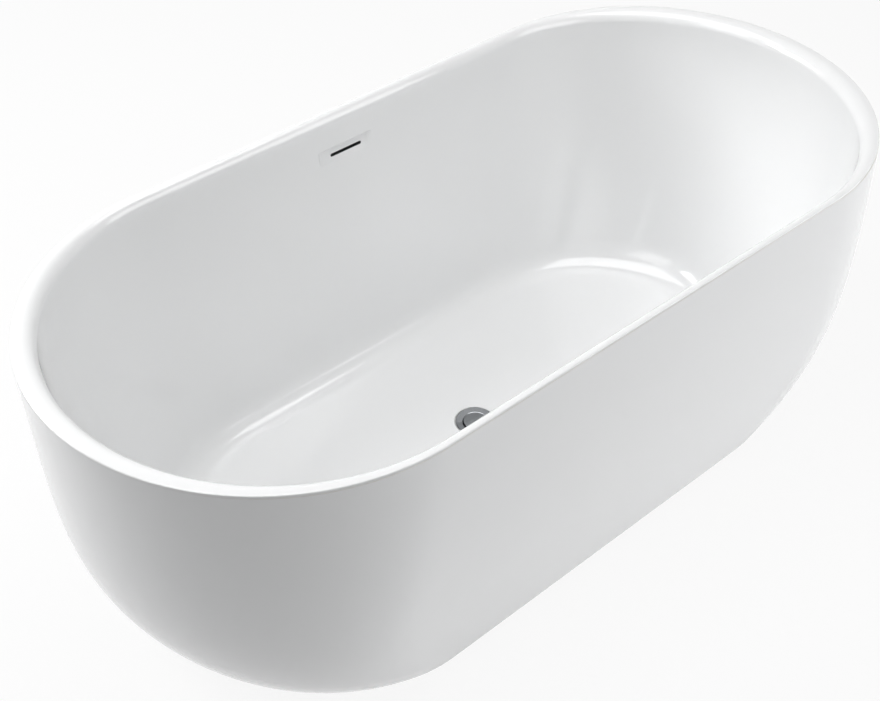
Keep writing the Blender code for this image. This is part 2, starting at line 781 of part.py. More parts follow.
def build_foot(word, x, y, rubber_look, zinc_look):
    """A rubber pad on a threaded stud, with the nut that locks it under the bar."""
    socket = stud_radius + thread_clearance
    socket_floor = pad_height - pad_socket
    pad = turned(f"foot_pad_{word}", [
        (0, socket_floor), (socket, socket_floor), (socket, pad_height), (pad_radius * 0.6, pad_height),
        (pad_radius, 0.002), (pad_radius, 0), (0, 0)],
        rubber_look, 16, closed=False)
    pad.location = (x, y, 0)
    smooth(pad)
    stud = cylinder(f"foot_stud_{word}", stud_radius, socket_floor + touch_gap, stud_top, zinc_look,
                    small_segments, x, y)
    smooth(stud)
    nut_bore = stud_radius + thread_clearance
    nut = outline(f"lock_nut_{word}", [circle(nut_radius, 6), circle(nut_bore, small_segments)],
                  nut_height, zinc_look)
    nut.location = (x, y, bar_bottom - touch_gap - nut_height / 2)


def main():
    for old in list(bpy.data.objects):
        bpy.data.objects.remove(old)
    bpy.context.scene.collection.children.link(parts)
    bpy.context.scene.collection.children.link(cutters)

    acrylic = material("white acrylic", (0.88, 0.89, 0.90), 0.08)
    skirt = material("white acrylic skirt", (0.88, 0.89, 0.90), 0.08)
    chrome = material("polished chrome", (0.55, 0.56, 0.58), 0.08, 1.0)
    rubber = material("black rubber", (0.03, 0.03, 0.03), 0.8)
    plastic = material("white pipe plastic", (0.75, 0.76, 0.76), 0.4)
    dark_plastic = material("dark plastic", (0.05, 0.05, 0.055), 0.45)
    hose = material("grey hose", (0.45, 0.46, 0.47), 0.5)
    zinc = material("zinc plated steel", (0.6, 0.6, 0.58), 0.35, 1.0)
    steel = material("painted steel", (0.12, 0.12, 0.13), 0.5)
    wood = material("resin coated board", (0.5, 0.42, 0.3), 0.6)

    build_inner_shell(acrylic)
    build_outer_shell(skirt)
    build_overflow(dark_plastic, rubber, zinc, hose)
    build_drain(chrome, rubber, plastic, zinc)
    board = build_board(wood)
    outer_x = board_half_length - bar_end_offset
    for word, x in (("left", -outer_x), ("middle", middle_bar_offset), ("right", outer_x)):
        build_bar(word, x, board, steel, plastic, rubber, zinc)


main()
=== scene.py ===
from math import ceil, cos, hypot, pi, radians, sin

import bmesh
import bpy
from mathutils import Matrix, Vector


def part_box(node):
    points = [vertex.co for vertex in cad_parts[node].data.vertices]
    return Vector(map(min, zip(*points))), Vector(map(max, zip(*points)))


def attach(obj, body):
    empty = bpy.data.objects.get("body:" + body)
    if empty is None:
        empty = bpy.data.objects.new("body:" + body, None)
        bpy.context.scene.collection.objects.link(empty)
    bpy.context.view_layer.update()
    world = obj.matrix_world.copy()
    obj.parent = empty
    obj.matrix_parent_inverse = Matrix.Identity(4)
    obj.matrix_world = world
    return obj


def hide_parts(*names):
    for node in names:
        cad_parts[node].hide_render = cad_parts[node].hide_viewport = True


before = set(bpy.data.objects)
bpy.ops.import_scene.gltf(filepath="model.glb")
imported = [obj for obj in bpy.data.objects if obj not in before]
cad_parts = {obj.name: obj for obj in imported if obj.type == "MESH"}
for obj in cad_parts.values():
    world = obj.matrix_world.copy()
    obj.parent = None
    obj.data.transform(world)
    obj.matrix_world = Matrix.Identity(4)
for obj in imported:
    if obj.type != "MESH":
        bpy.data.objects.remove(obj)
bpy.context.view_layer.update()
print("frame loaded,", len(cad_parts), "nodes")

rimLow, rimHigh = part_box("inner_shell")
skirtLow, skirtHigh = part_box("outer_shell")
flangeLow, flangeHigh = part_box("drain_flange")
halfLength = rimHigh.x
halfWidth = rimHigh.y
rimTop = rimHigh.z

scene = bpy.context.scene
tubCollection = bpy.data.collections.new("bathtub")
scene.collection.children.link(tubCollection)

basinSpec = {
    "sideFlat": 0.005,       # level band at the rim's outer edge, at the sides and at the ends
    "endFlat": 0.012,
    "sideRoll": 0.015,       # how far in the roll reaches
    "endRoll": 0.028,
    "rimDrop": 0.022,        # height of the roll
    "edgeRound": 0.0024,     # outer corner of the rim
    "wall": 0.005,
    "floorHeight": 0.078,
    "sideInset": 0.112,      # rim edge to the side crease at the floor
    "endInset": 0.222,
    "floorCap": 0.300,
    "sideFillet": 0.046,
    "endFillet": 0.062,
    "sideCurve": 1.75,       # how late the walls draw in towards the floor
    "endCurve": 1.4,
    "capSteps": 72,
    "sideSteps": 9,
    "wallRows": 18,          # rows between the overflow recess and the fillet
    "filletRows": 16,
    "rimPoints": 10,         # profile points on the rim's outer edge, which the back leaves out
    "backStep": 3,           # the back has one row for this many of the front
}
recessSpec = {
    "halfWidth": 0.064,
    "top": 0.069,            # below the rim top
    "height": 0.030,
    "depth": 0.005,
    "edge": 0.0012,          # softness of its edges
    "ramp": 0.018,           # length of the gentle slope at its right end
    "slotHalf": 0.037,
    "slotRadius": 0.003,
    "slotRise": 0.014,
    "backWall": 0.003,
    "margin": 0.014,
}
skirtSpec = {
    "wall": 0.0035,
    "endLean": 0.037, "endTuck": 0.170, "endPower": 6.0,
    "sideLean": -0.0465, "sideTuck": 0.098, "sidePower": 1.76,
    "baseCap": 0.280,
    "lift": skirtLow.z,
    "baseRound": 0.013,
    "baseFlange": 0.016,
    "rows": 44,
    "rowSpread": 1.4,        # above 1 draws the rows together towards the base
    "roundRows": 12,
    "backStep": 4,
}
drainSpec = {
    "wellRadius": 0.0405,
    "wellDepth": 0.003,
    "lipRound": 0.0012,
    "holeRadius": 0.0275,
    "floorRings": 8,
}


def newObject(name, mesh, materials=()):
    made = bpy.data.objects.new(name, mesh)
    tubCollection.objects.link(made)
    for look in materials:
        mesh.materials.append(look)
    return made


def dressed(piece, node, body="tub"):
    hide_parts(node)
    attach(piece, body)
    return piece


def sharpen(piece, degrees=40):
    piece.data.shade_smooth()
    piece.data.set_sharp_from_angle(angle=radians(degrees))
    return piece


def circle(radius, z, segments, center=(0, 0)):
    turns = [2 * pi * i / segments for i in range(segments)]
    return [Vector((center[0] + radius * cos(t), center[1] + radius * sin(t), z)) for t in turns]


def skin(name, rings, materials, slots=None, wrap=True):
    # joins rings of equal length into a surface, round and round; wrap closes last ring to first
    shape = bmesh.new()
    loops = [[shape.verts.new(p) for p in ring] for ring in rings]
    spans = len(loops) if wrap else len(loops) - 1
    for row in range(spans):
        upper, lower = loops[row], loops[(row + 1) % len(loops)]
        for i in range(len(upper)):
            j = (i + 1) % len(upper)
            face = shape.faces.new((upper[i], lower[i], lower[j], upper[j]))
            face.material_index = slots[row] if slots else 0
    bmesh.ops.recalc_face_normals(shape, faces=shape.faces)
    mesh = bpy.data.meshes.new(name)
    shape.to_mesh(mesh)
    shape.free()
    return newObject(name, mesh, materials)


def closeEnds(piece):
    shape = bmesh.new()
    shape.from_mesh(piece.data)
    bmesh.ops.holes_fill(shape, edges=shape.edges)
    bmesh.ops.recalc_face_normals(shape, faces=shape.faces)
    shape.to_mesh(piece.data)
    shape.free()
    return piece


def applied(piece):
    # bakes a piece's modifiers into its mesh
    bpy.context.view_layer.update()
    evaluated = piece.evaluated_get(bpy.context.evaluated_depsgraph_get())
    mesh = bpy.data.meshes.new_from_object(evaluated)
    piece.modifiers.clear()
    piece.data = mesh
    return piece


def cut(piece, tool, operation="DIFFERENCE"):
    step = piece.modifiers.new(operation.lower(), "BOOLEAN")
    step.operation = operation
    step.object = tool
    step.solver = "EXACT"
    step.material_mode = "TRANSFER"
    applied(piece)
    bpy.data.objects.remove(tool)


def softened(points, radius, steps=4):
    # rounds the corners of a closed outline of (x, y) points
    made = []
    count = len(points)
    for i, corner in enumerate(points):
        here = Vector(corner)
        before = Vector(points[i - 1]) - here
        after = Vector(points[(i + 1) % count]) - here
        reach = min(radius, before.length * 0.45, after.length * 0.45)
        start = here + before.normalized() * reach
        end = here + after.normalized() * reach
        for k in range(steps + 1):
            t = k / steps
            made.append((1 - t) ** 2 * start + 2 * t * (1 - t) * here + t * t * end)
    return [tuple(p) for p in made]


def turned(name, outline, materials, segments):
    # a closed (radius, z) outline turned about the z axis
    return sharpen(skin(name, [circle(radius, z, segments) for radius, z in outline], materials))


def sideColumns():
    # x places on half of a straight side, close together round the ends of the overflow recess
    half = recessSpec["halfWidth"]
    edge = recessSpec["edge"]
    slot = recessSpec["slotHalf"]
    middle = [slot * i / 3 for i in range(3)]
    ramp = [slot + (half - 3 * edge - slot) * i / 6 for i in range(7)]
    side = [half + edge * share for share in (-1.3, -0.5, 0, 0.5, 1.3, 5)]
    return middle + ramp + side


def oval(halfX, halfY, cap):
    # points round a long oval whose ends are half ellipses, counter-clockwise from the right end's near
    # corner; each is x, y and how far it belongs to an end, 1 at the tip and 0 on the straight side
    steps = basinSpec["capSteps"]
    straight = halfX - cap
    near = sideColumns()
    last = near[-1]
    count = basinSpec["sideSteps"]
    columns = near + [last + (straight - last) * i / count for i in range(1, count)]
    side = columns[::-1] + [-x for x in columns[1:]]
    points = []
    for end in (1, -1):
        for i in range(steps + 1):
            angle = pi * i / steps - pi / 2
            points.append((end * (straight + cap * cos(angle)), end * halfY * sin(angle), cos(angle) ** 2))
        for x in side:
            points.append((end * x, end * halfY, 0.0))
    return points


def ovalRing(endInset, sideInset, cap, zEnd, zSide):
    return [Vector((x, y, zSide + (zEnd - zSide) * share))
            for x, y, share in oval(halfLength - endInset, halfWidth - sideInset, cap)]


def bend(start, corner, end, t):
    # a place on the smooth curve between two points that a corner pulls on
    return [(1 - t) ** 2 * a + 2 * t * (1 - t) * b + t * t * c for a, b, c in zip(start, corner, end)]


def wallInset(z, start, floorInset, curve):
    # how far the wall stands in from the rim's edge at a height
    top = rimTop - basinSpec["rimDrop"]
    share = max((top - z) / (top - basinSpec["floorHeight"]), 0)
    return start + (floorInset - start) * share ** curve


def sideWall(z):
    spec = basinSpec
    start = spec["sideFlat"] + spec["sideRoll"]
    return halfWidth - wallInset(z, start, spec["sideInset"], spec["sideCurve"])


def wallRows():
    # heights of the rows down the wall, close together round the overflow recess
    top = rimTop - recessSpec["top"]
    bottom = top - recessSpec["height"]
    edge = recessSpec["edge"]
    slot = bottom + recessSpec["slotRise"]
    return [top + 0.020, top + 0.010, top + 4 * edge, top + 1.2 * edge, top + 0.4 * edge, top,
            top - 0.3 * edge, top - 0.8 * edge, top - 2 * edge, top - 6 * edge, slot + 0.008,
            slot + 0.004, slot, slot - 0.004, bottom + 3 * edge, bottom + edge, bottom,
            bottom - edge, bottom - 3 * edge, bottom - 0.012]


def basinProfile(place):
    # (inset, z) of the inside, from the rim's outer edge down to the level floor, at the "side" or "end"
    flat, roll, floorInset, fillet, curve = (
        basinSpec[place + word] for word in ("Flat", "Roll", "Inset", "Fillet", "Curve"))
    floorHeight = basinSpec["floorHeight"]
    edge = basinSpec["edgeRound"]
    start = flat + roll
    points = [(0, rimTop - basinSpec["wall"]), (0, rimTop - edge - 0.0004)]
    for i in range(7):
        angle = pi / 2 * i / 6
        points.append((edge * (1 - cos(angle)), rimTop - edge * (1 - sin(angle))))
    points.append((flat - 0.0006, rimTop))
    for i in range(17):
        angle = pi / 2 * i / 16
        points.append((start - roll * (1 - sin(angle)), rimTop - basinSpec["rimDrop"] * (1 - cos(angle))))
    lean = (wallInset(floorHeight, start, floorInset, curve)
            - wallInset(floorHeight + fillet, start, floorInset, curve)) / fillet
    startZ = floorHeight + fillet / hypot(1, lean)
    rows = wallRows()
    lowest = rows[-1]
    count = basinSpec["wallRows"]
    rows += [lowest + (startZ - lowest) * i / count for i in range(1, count + 1)]
    points += [(wallInset(z, start, floorInset, curve), z) for z in rows]
    last = points[-1]
    count = basinSpec["filletRows"]
    crease, foot = (floorInset, floorHeight), (floorInset + fillet, floorHeight)
    points += [tuple(bend(last, crease, foot, i / count)) for i in range(1, count + 1)]
    points.append((floorInset + fillet + 0.004, floorHeight))
    return points


def smoothStep(low, high, value):
    t = min(max((value - low) / (high - low), 0), 1)
    return t * t * (3 - 2 * t)


def recessPush(x, z):
    # how far the recess goes behind the wall at a place on it
    spec = recessSpec
    top = rimTop - spec["top"]
    edge = spec["edge"]
    bottom = top - spec["height"]
    if z <= bottom:
        return 0
    share = min((z - bottom) / spec["height"], 1)
    face = sideWall(bottom) + (sideWall(top) + spec["depth"] - sideWall(bottom)) * share
    depth = max(face - sideWall(z), 0)
    inner = spec["halfWidth"] - (spec["ramp"] if x > 0 else edge)
    across = 1 - smoothStep(inner, spec["halfWidth"] + edge, abs(x))
    down = 1 - smoothStep(top - 0.9 * edge, top + 0.9 * edge, z)
    return depth * across * down


def buildBasin(acrylic, backing, slotPaintedShade):
    spec = basinSpec
    sides, ends = basinProfile("side"), basinProfile("end")
    floorCap = spec["floorCap"] / (halfWidth - spec["sideInset"])

    def capOf(side, z):
        drop = (rimTop - z) / (rimTop - spec["floorHeight"])
        return (halfWidth - side) * ((1 - drop) + floorCap * drop)

    visible = []
    for (side, zSide), (end, zEnd) in zip(sides, ends):
        ring = ovalRing(end, side, capOf(side, zSide), zEnd, zSide)
        for p in ring:
            if p.y > 0:
                p.y += recessPush(p.x, p.z)
        visible.append(ring)

    # level floor, from the oval to the drain well
    floorRing = visible[-1]
    well = drainSpec["wellRadius"]
    lip = drainSpec["lipRound"]
    z = spec["floorHeight"]
    directions = [Vector((p.x, p.y, 0)).normalized() for p in floorRing]
    outerCircle = [d * (well + 4 * lip) + Vector((0, 0, z)) for d in directions]
    count = drainSpec["floorRings"]
    for i in range(1, count + 1):
        visible.append([a.lerp(b, i / count) for a, b in zip(floorRing, outerCircle)])
    lowZ = z - drainSpec["wellDepth"]
    lipLine = [(well + 1.2 * lip, z)]
    for i in range(6):
        angle = pi / 2 * i / 5
        lipLine.append((well + lip - lip * sin(angle), z - lip * (1 - cos(angle))))
    lipLine += [(well, lowZ + 0.0004), (well - 0.0004, lowZ), (drainSpec["holeRadius"] + 0.0008, lowZ),
                (drainSpec["holeRadius"], lowZ - 0.0008)]
    for radius, height in lipLine:
        visible.append([d * radius + Vector((0, 0, height)) for d in directions])

    # the back, from the drain hole out to the rim's lower edge
    wall = spec["wall"]
    under = lowZ - wall
    hidden = []
    for radius, height in ((drainSpec["holeRadius"], under), (well + wall, under), (well + wall, z - wall)):
        hidden.append([d * radius + Vector((0, 0, height)) for d in directions])
    hidden.append([a.lerp(b, 0.5) + Vector((0, 0, -wall)) for a, b in zip(floorRing, outerCircle)])
    for k in range(len(sides) - 1, spec["rimPoints"] - 1, -spec["backStep"]):
        side, zSide = offsetPoint(sides, k, wall)
        end, zEnd = offsetPoint(ends, k, wall)
        zSide, zEnd = min(zSide, rimTop - wall), min(zEnd, rimTop - wall)
        hidden.append(ovalRing(end, side, capOf(side, zSide), zEnd, zSide))

    # the recess's own block on the back
    pocketBack = sideWall(rimTop - recessSpec["top"]) + recessSpec["depth"] + recessSpec["backWall"]
    low = rimTop - recessSpec["top"] - recessSpec["height"] - recessSpec["margin"]
    high = rimTop - recessSpec["top"] + recessSpec["margin"]
    for ring in hidden:
        for p in ring:
            if p.y > halfWidth * 0.6 and low <= p.z <= high and p.y < pocketBack:
                if abs(p.x) <= recessSpec["halfWidth"] + recessSpec["margin"]:
                    p.y = pocketBack
    rings = visible + hidden
    slots = [0] * (len(visible) - 1) + [1] * len(hidden) + [1]
    basin = skin("basin", rings, [acrylic, backing], slots)

    slotZ = rimTop - recessSpec["top"] - recessSpec["height"] + recessSpec["slotRise"]
    # the slot's cut faces take the dark plastic finish: painted shade, standing in for the shadow inside
    # the slot
    cut(basin, slotTool(slotZ, pocketBack, slotPaintedShade))
    dressed(sharpen(basin, 50), "inner_shell")


def offsetPoint(points, k, distance):
    # a profile point moved square to the profile, away from the tub's middle, or towards it if below zero
    before = Vector(points[max(k - 1, 0)])
    after = Vector(points[min(k + 1, len(points) - 1)])
    along = (after - before).normalized()
    normal = Vector((along.y, -along.x))
    return Vector(points[k]) + normal * distance


def slotTool(slotZ, pocketBack, slotPaintedShade):
    # cutter for the overflow slot; its dark finish passes to the slot's cut faces as painted shade
    radius = recessSpec["slotRadius"]
    straight = recessSpec["slotHalf"] - radius
    outline = []
    for end in (1, -1):
        for i in range(17):
            angle = pi * i / 16 - pi / 2
            outline.append((end * (straight + radius * cos(angle)), slotZ + end * radius * sin(angle)))
    rings = [[Vector((x, y, z)) for x, z in outline] for y in (pocketBack - 0.05, pocketBack + 0.003)]
    return closeEnds(skin("slot tool", rings, [slotPaintedShade], wrap=False))


def skirtInsets(z):
    spec = skirtSpec
    drop = (rimTop - z) / rimTop
    return (spec["endLean"] * drop + spec["endTuck"] * drop ** spec["endPower"],
            spec["sideLean"] * drop + spec["sideTuck"] * drop ** spec["sidePower"])


def buildSkirt(acrylic, backing):
    spec = skirtSpec
    top = skirtHigh.z
    lift = spec["lift"]
    foot = lift + spec["baseRound"]
    ends, sides = [], []
    for i in range(spec["rows"] + 1):
        z = top + (foot - top) * (1 - (1 - i / spec["rows"]) ** spec["rowSpread"])
        end, side = skirtInsets(z)
        ends.append((end, z))
        sides.append((side, z))
    for line, high in zip((ends, sides), skirtInsets(foot + spec["baseRound"])):
        start = line[-1]
        corner = (2 * start[0] - high, lift)
        finish = (corner[0] + spec["baseRound"], lift)
        for i in range(1, spec["roundRows"] + 1):
            line.append(tuple(bend(start, corner, finish, i / spec["roundRows"])))
        line.append((finish[0] + spec["baseFlange"], lift))

    def capOf(side, z):
        drop = (rimTop - z) / rimTop
        return (halfWidth - side) * (1 - drop) + spec["baseCap"] * drop

    visible = [ovalRing(end, side, capOf(side, z), z, z) for (end, z), (side, _) in zip(ends, sides)]
    hidden = []
    for k in list(range(len(ends) - 1, -1, -spec["backStep"])) + [0]:
        side = offsetPoint(sides, k, -spec["wall"]).x
        end, z = offsetPoint(ends, k, -spec["wall"])
        if k == 0:
            z = top
        hidden.append(ovalRing(end, side, capOf(side, z), z, z))
    slots = [0] * (len(visible) - 1) + [1] * len(hidden) + [1]
    skirt = skin("skirt", visible + hidden, [acrylic, backing], slots)
    dressed(sharpen(skirt, 50), "outer_shell")


# shader node groups

def newGroup(name, inputs):
    # gives the group, the sockets of its inputs, and the object's own coordinates
    group = bpy.data.node_groups.new(name, "ShaderNodeTree")
    for label, value in inputs.items():
        socket = group.interface.new_socket(name=label, in_out="INPUT", socket_type="NodeSocketFloat")
        socket.default_value = value
    place = addNode(group, "ShaderNodeTexCoord").outputs["Object"]
    return group, group.nodes.new("NodeGroupInput").outputs, place


def sendOut(group, outputs):
    for label in outputs:
        group.interface.new_socket(name=label, in_out="OUTPUT", socket_type="NodeSocketFloat")
    result = group.nodes.new("NodeGroupOutput")
    for label, socket in outputs.items():
        group.links.new(socket, result.inputs[label])
    return group


def addNode(tree, kind, inputs=None, **settings):
    node = tree.nodes.new(kind)
    for key, value in settings.items():
        setattr(node, key, value)
    for key, value in (inputs or {}).items():
        if isinstance(value, bpy.types.NodeSocket):
            tree.links.new(value, node.inputs[key])
        else:
            node.inputs[key].default_value = value
    return node


def buildMottleGroup():
    # cloudy variation: a value between Low and High, and the bare mask
    group, source, place = newGroup("surface mottle", {"Scale": 8.0, "Low": 0.1, "High": 0.2})
    noise = addNode(group, "ShaderNodeTexNoise", {"Vector": place, "Scale": source["Scale"], "Detail": 2.0})
    mask = addNode(group, "ShaderNodeMapRange", {
        "Value": noise.outputs["Fac"], "From Min": 0.3, "From Max": 0.7}).outputs["Result"]
    value = addNode(group, "ShaderNodeMapRange", {
        "Value": mask, "To Min": source["Low"], "To Max": source["High"]})
    return sendOut(group, {"Value": value.outputs["Result"], "Mask": mask})


def buildGrainGroup():
    # fine moulded or cast grain, as a height from a soft noise and small cells
    group, source, place = newGroup("fine grain", {"Soft Scale": 40.0, "Cell Scale": 300.0, "Cells": 0.5})
    soft = addNode(group, "ShaderNodeTexNoise", {
        "Vector": place, "Scale": source["Soft Scale"], "Detail": 1.0})
    cells = addNode(group, "ShaderNodeTexVoronoi", {
        "Vector": place, "Scale": source["Cell Scale"]}, feature="F1").outputs["Distance"]
    height = addNode(group, "ShaderNodeMix", {
        0: source["Cells"], 2: soft.outputs["Fac"], 3: cells}, data_type="FLOAT")
    return sendOut(group, {"Height": height.outputs[0]})


def buildStrandGroup():
    # chopped strands lying at random angles under resin
    group, source, place = newGroup("chopped strands", {"Scale": 30.0, "Width": 0.35})
    total = 0.0
    for turn in (0.3, 1.4, 2.5):
        along = addNode(group, "ShaderNodeMapping", {
            "Vector": place, "Rotation": (0.5 * turn, 1.1 * turn, turn), "Scale": (0.16, 1.0, 1.0)})
        patch = addNode(group, "ShaderNodeTexNoise", {
            "Vector": along.outputs["Vector"], "Scale": source["Scale"], "Detail": 2.0, "Distortion": 0.4})
        strand = addNode(group, "ShaderNodeMapRange", {
            "Value": patch.outputs["Fac"], "From Min": 0.56, "From Max": 0.60})
        total = addNode(group, "ShaderNodeMath", {
            0: total, 1: strand.outputs[0]}, operation="MAXIMUM").outputs[0]
    soft = addNode(group, "ShaderNodeMath", {0: total, 1: source["Width"]}, operation="MULTIPLY")
    return sendOut(group, {"Mask": total, "Height": soft.outputs[0]})


def buildWearGroup():
    # brighter, worn edges, broken up by noise
    group, source, place = newGroup("edge wear", {"Reach": 0.06, "Scale": 60.0})
    shape = addNode(group, "ShaderNodeNewGeometry")
    noise = addNode(group, "ShaderNodeTexNoise", {"Vector": place, "Scale": source["Scale"], "Detail": 5.0})
    top = addNode(group, "ShaderNodeMath", {0: 0.52, 1: source["Reach"]}, operation="ADD")
    edge = addNode(group, "ShaderNodeMapRange", {
        "Value": shape.outputs["Pointiness"], "From Min": 0.52, "From Max": top.outputs[0]})
    broken = addNode(group, "ShaderNodeMapRange", {
        "Value": noise.outputs["Fac"], "From Min": 0.4, "From Max": 0.62})
    mask = addNode(group, "ShaderNodeMath", {
        0: edge.outputs["Result"], 1: broken.outputs["Result"]}, operation="MULTIPLY")
    return sendOut(group, {"Mask": mask.outputs[0]})


mottleGroup = buildMottleGroup()
grainGroup = buildGrainGroup()
strandGroup = buildStrandGroup()
wearGroup = buildWearGroup()


# one row per finish; accent is the second colour of the mottle, wear and strands are left out where absent
finishSpec = {
    # the basin's acrylic is the same white acrylic as the skirt's but coloured slightly darker: painted
    # shade for the dimmer light on the rim and inside the basin
    "polishedAcrylic": {
        "color": (0.838, 0.842, 0.844), "accent": (0.830, 0.835, 0.839), "mottle": 2.5,
        "rough": (0.085, 0.12), "soft": 14, "cells": 420, "mix": 0.02, "bump": 0.015, "coat": 0.4,
        "coatRough": 0.05},
    "skirtAcrylic": {
        "color": (0.862, 0.868, 0.874), "accent": (0.855, 0.862, 0.870), "mottle": 2.0,
        "rough": (0.17, 0.21), "soft": 12, "cells": 420, "mix": 0.02, "bump": 0.015, "coat": 0.25,
        "coatRough": 0.06},
    "fibreBacking": {
        "color": (0.60, 0.57, 0.46), "accent": (0.70, 0.67, 0.56), "mottle": 22, "rough": (0.34, 0.58),
        "soft": 60, "cells": 240, "mix": 0.4, "bump": 0.35, "strands": (34, 0.8),
        "strandColor": (0.80, 0.78, 0.68)},
    # the chrome's colour is set well below real chrome's so that it renders grey while reflecting white
    # surroundings: painted shade in its reflections
    "polishedChrome": {
        "color": (0.29, 0.30, 0.31), "accent": (0.25, 0.26, 0.27), "mottle": 30, "rough": (0.05, 0.10),
        "metal": 1, "soft": 80, "cells": 900, "mix": 0.3, "bump": 0.01},
    "mouldedPlastic": {
        "color": (0.74, 0.75, 0.75), "accent": (0.69, 0.70, 0.70), "mottle": 35, "rough": (0.32, 0.46),
        "soft": 120, "cells": 1400, "mix": 0.6, "bump": 0.06, "wear": 0.08,
        "wearColor": (0.83, 0.84, 0.84)},
    "darkPlastic": {
        "color": (0.030, 0.031, 0.034), "accent": (0.042, 0.043, 0.046), "mottle": 40,
        "rough": (0.36, 0.52), "soft": 120, "cells": 1600, "mix": 0.7, "bump": 0.08, "wear": 0.08,
        "wearColor": (0.10, 0.10, 0.105)},
    "hosePlastic": {
        "color": (0.42, 0.43, 0.44), "accent": (0.36, 0.37, 0.38), "mottle": 28, "rough": (0.38, 0.55),
        "soft": 90, "cells": 1200, "mix": 0.5, "bump": 0.08, "wear": 0.10,
        "wearColor": (0.56, 0.57, 0.58)},
    "blackRubber": {
        "color": (0.024, 0.024, 0.025), "accent": (0.045, 0.044, 0.043), "mottle": 45,
        "rough": (0.62, 0.86), "soft": 150, "cells": 1800, "mix": 0.6, "bump": 0.16, "wear": 0.10,
        "wearColor": (0.085, 0.083, 0.08)},
    "zincSteel": {
        "color": (0.58, 0.58, 0.56), "accent": (0.68, 0.67, 0.60), "mottle": 120, "rough": (0.22, 0.42),
        "metal": 1, "soft": 160, "cells": 900, "mix": 0.5, "bump": 0.06, "wear": 0.08,
        "wearColor": (0.74, 0.74, 0.73)},
    "powderCoat": {
        "color": (0.10, 0.10, 0.108), "accent": (0.125, 0.125, 0.132), "mottle": 18,
        "rough": (0.40, 0.55), "soft": 260, "cells": 1500, "mix": 0.7, "bump": 0.14, "wear": 0.10,
        "wearColor": (0.24, 0.24, 0.25)},
    "resinBoard": {
        "color": (0.45, 0.37, 0.25), "accent": (0.56, 0.48, 0.34), "mottle": 55, "rough": (0.36, 0.60),
        "soft": 90, "cells": 320, "mix": 0.5, "bump": 0.25, "strands": (120, 0.5),
        "strandColor": (0.68, 0.60, 0.44), "wear": 0.10, "wearColor": (0.66, 0.57, 0.42)},
}


def blended(tree, mask, first, second):
    node = addNode(tree, "ShaderNodeMix", {0: mask}, data_type="RGBA")
    for index, color in ((6, first), (7, second)):
        if isinstance(color, bpy.types.NodeSocket):
            tree.links.new(color, node.inputs[index])
        else:
            node.inputs[index].default_value = (*color, 1)
    return node.outputs[2]


def buildFinish(name):
    spec = finishSpec[name]
    made = bpy.data.materials.new(name)
    made.use_nodes = True
    tree = made.node_tree
    shader = tree.nodes["Principled BSDF"]
    shader.inputs["Metallic"].default_value = spec.get("metal", 0)
    shader.inputs["Coat Weight"].default_value = spec.get("coat", 0)
    shader.inputs["Coat Roughness"].default_value = spec.get("coatRough", 0.03)
    mottle = addNode(tree, "ShaderNodeGroup", {
        "Scale": spec["mottle"], "Low": spec["rough"][0], "High": spec["rough"][1]}, node_tree=mottleGroup)
    grain = addNode(tree, "ShaderNodeGroup", {
        "Soft Scale": spec["soft"], "Cell Scale": spec["cells"],
        "Cells": spec["mix"]}, node_tree=grainGroup)
    color = blended(tree, mottle.outputs["Mask"], spec["color"], spec["accent"])
    height = grain.outputs["Height"]
    if "strands" in spec:
        strands = addNode(tree, "ShaderNodeGroup", {
            "Scale": spec["strands"][0], "Width": spec["strands"][1]}, node_tree=strandGroup)
        color = blended(tree, strands.outputs["Mask"], color, spec["strandColor"])
        height = addNode(tree, "ShaderNodeMath", {0: height, 1: strands.outputs["Height"]},
                         operation="ADD").outputs[0]
    if "wear" in spec:
        wear = addNode(tree, "ShaderNodeGroup", {"Reach": spec["wear"]}, node_tree=wearGroup)
        color = blended(tree, wear.outputs["Mask"], color, spec["wearColor"])
    bump = addNode(tree, "ShaderNodeBump", {
        "Strength": spec["bump"], "Distance": 0.002, "Height": height})
    tree.links.new(color, shader.inputs["Base Color"])
    tree.links.new(mottle.outputs["Value"], shader.inputs["Roughness"])
    tree.links.new(bump.outputs["Normal"], shader.inputs["Normal"])
    return made


finish = {name: buildFinish(name) for name in finishSpec}
# the dark plastic passed last is painted shade on the overflow slot's cut faces
buildBasin(finish["polishedAcrylic"], finish["fibreBacking"], finish["darkPlastic"])
buildSkirt(finish["skirtAcrylic"], finish["fibreBacking"])
print("shells built")


# waste, stopper and its push mechanism
wasteSpec = {
    "flangeRise": 0.0012,
    "flangeDip": 0.0022,     # how far the dished flange falls to the stopper's seat
    "seatRadius": 0.0252,
    "seatDepth": 0.0055,
    "tubeRadius": 0.0225,
    "tubeBore": 0.0195,
    "threadPitch": 0.0020,
    "threadDepth": 0.0005,
    "spokeHalf": 0.0020,
    "spokeTop": 0.060,
    "spokeDrop": 0.006,
    "hubRadius": 0.0095,
    "hubBore": 0.0073,
    "hubRound": 0.0006,
    "edgeDepth": 0.0012,     # the flange's edge reaches this far below the basin floor
    "edgeRound": (0.0016, 0.0006),
    "edgeFlat": 0.0002,
    "threadStart": 0.0045,   # below the seat
}
stopperSpec = {
    "plate": 0.004,          # stem boss below the cap's underside
    "edgeRound": 0.0008,
    "crown": 0.0003,
    "rimWidth": 0.003,
    "hollow": 0.0006,
    "collarRadius": 0.0080,
    "bossRadius": 0.0045,
}
nutSpec = {
    "bore": 0.0204,
    "ribs": 16,
    "ribDepth": 0.0013,
    "ribTop": 0.002,         # the ribs end this far below the top
    "chamfer": 0.0005,
}


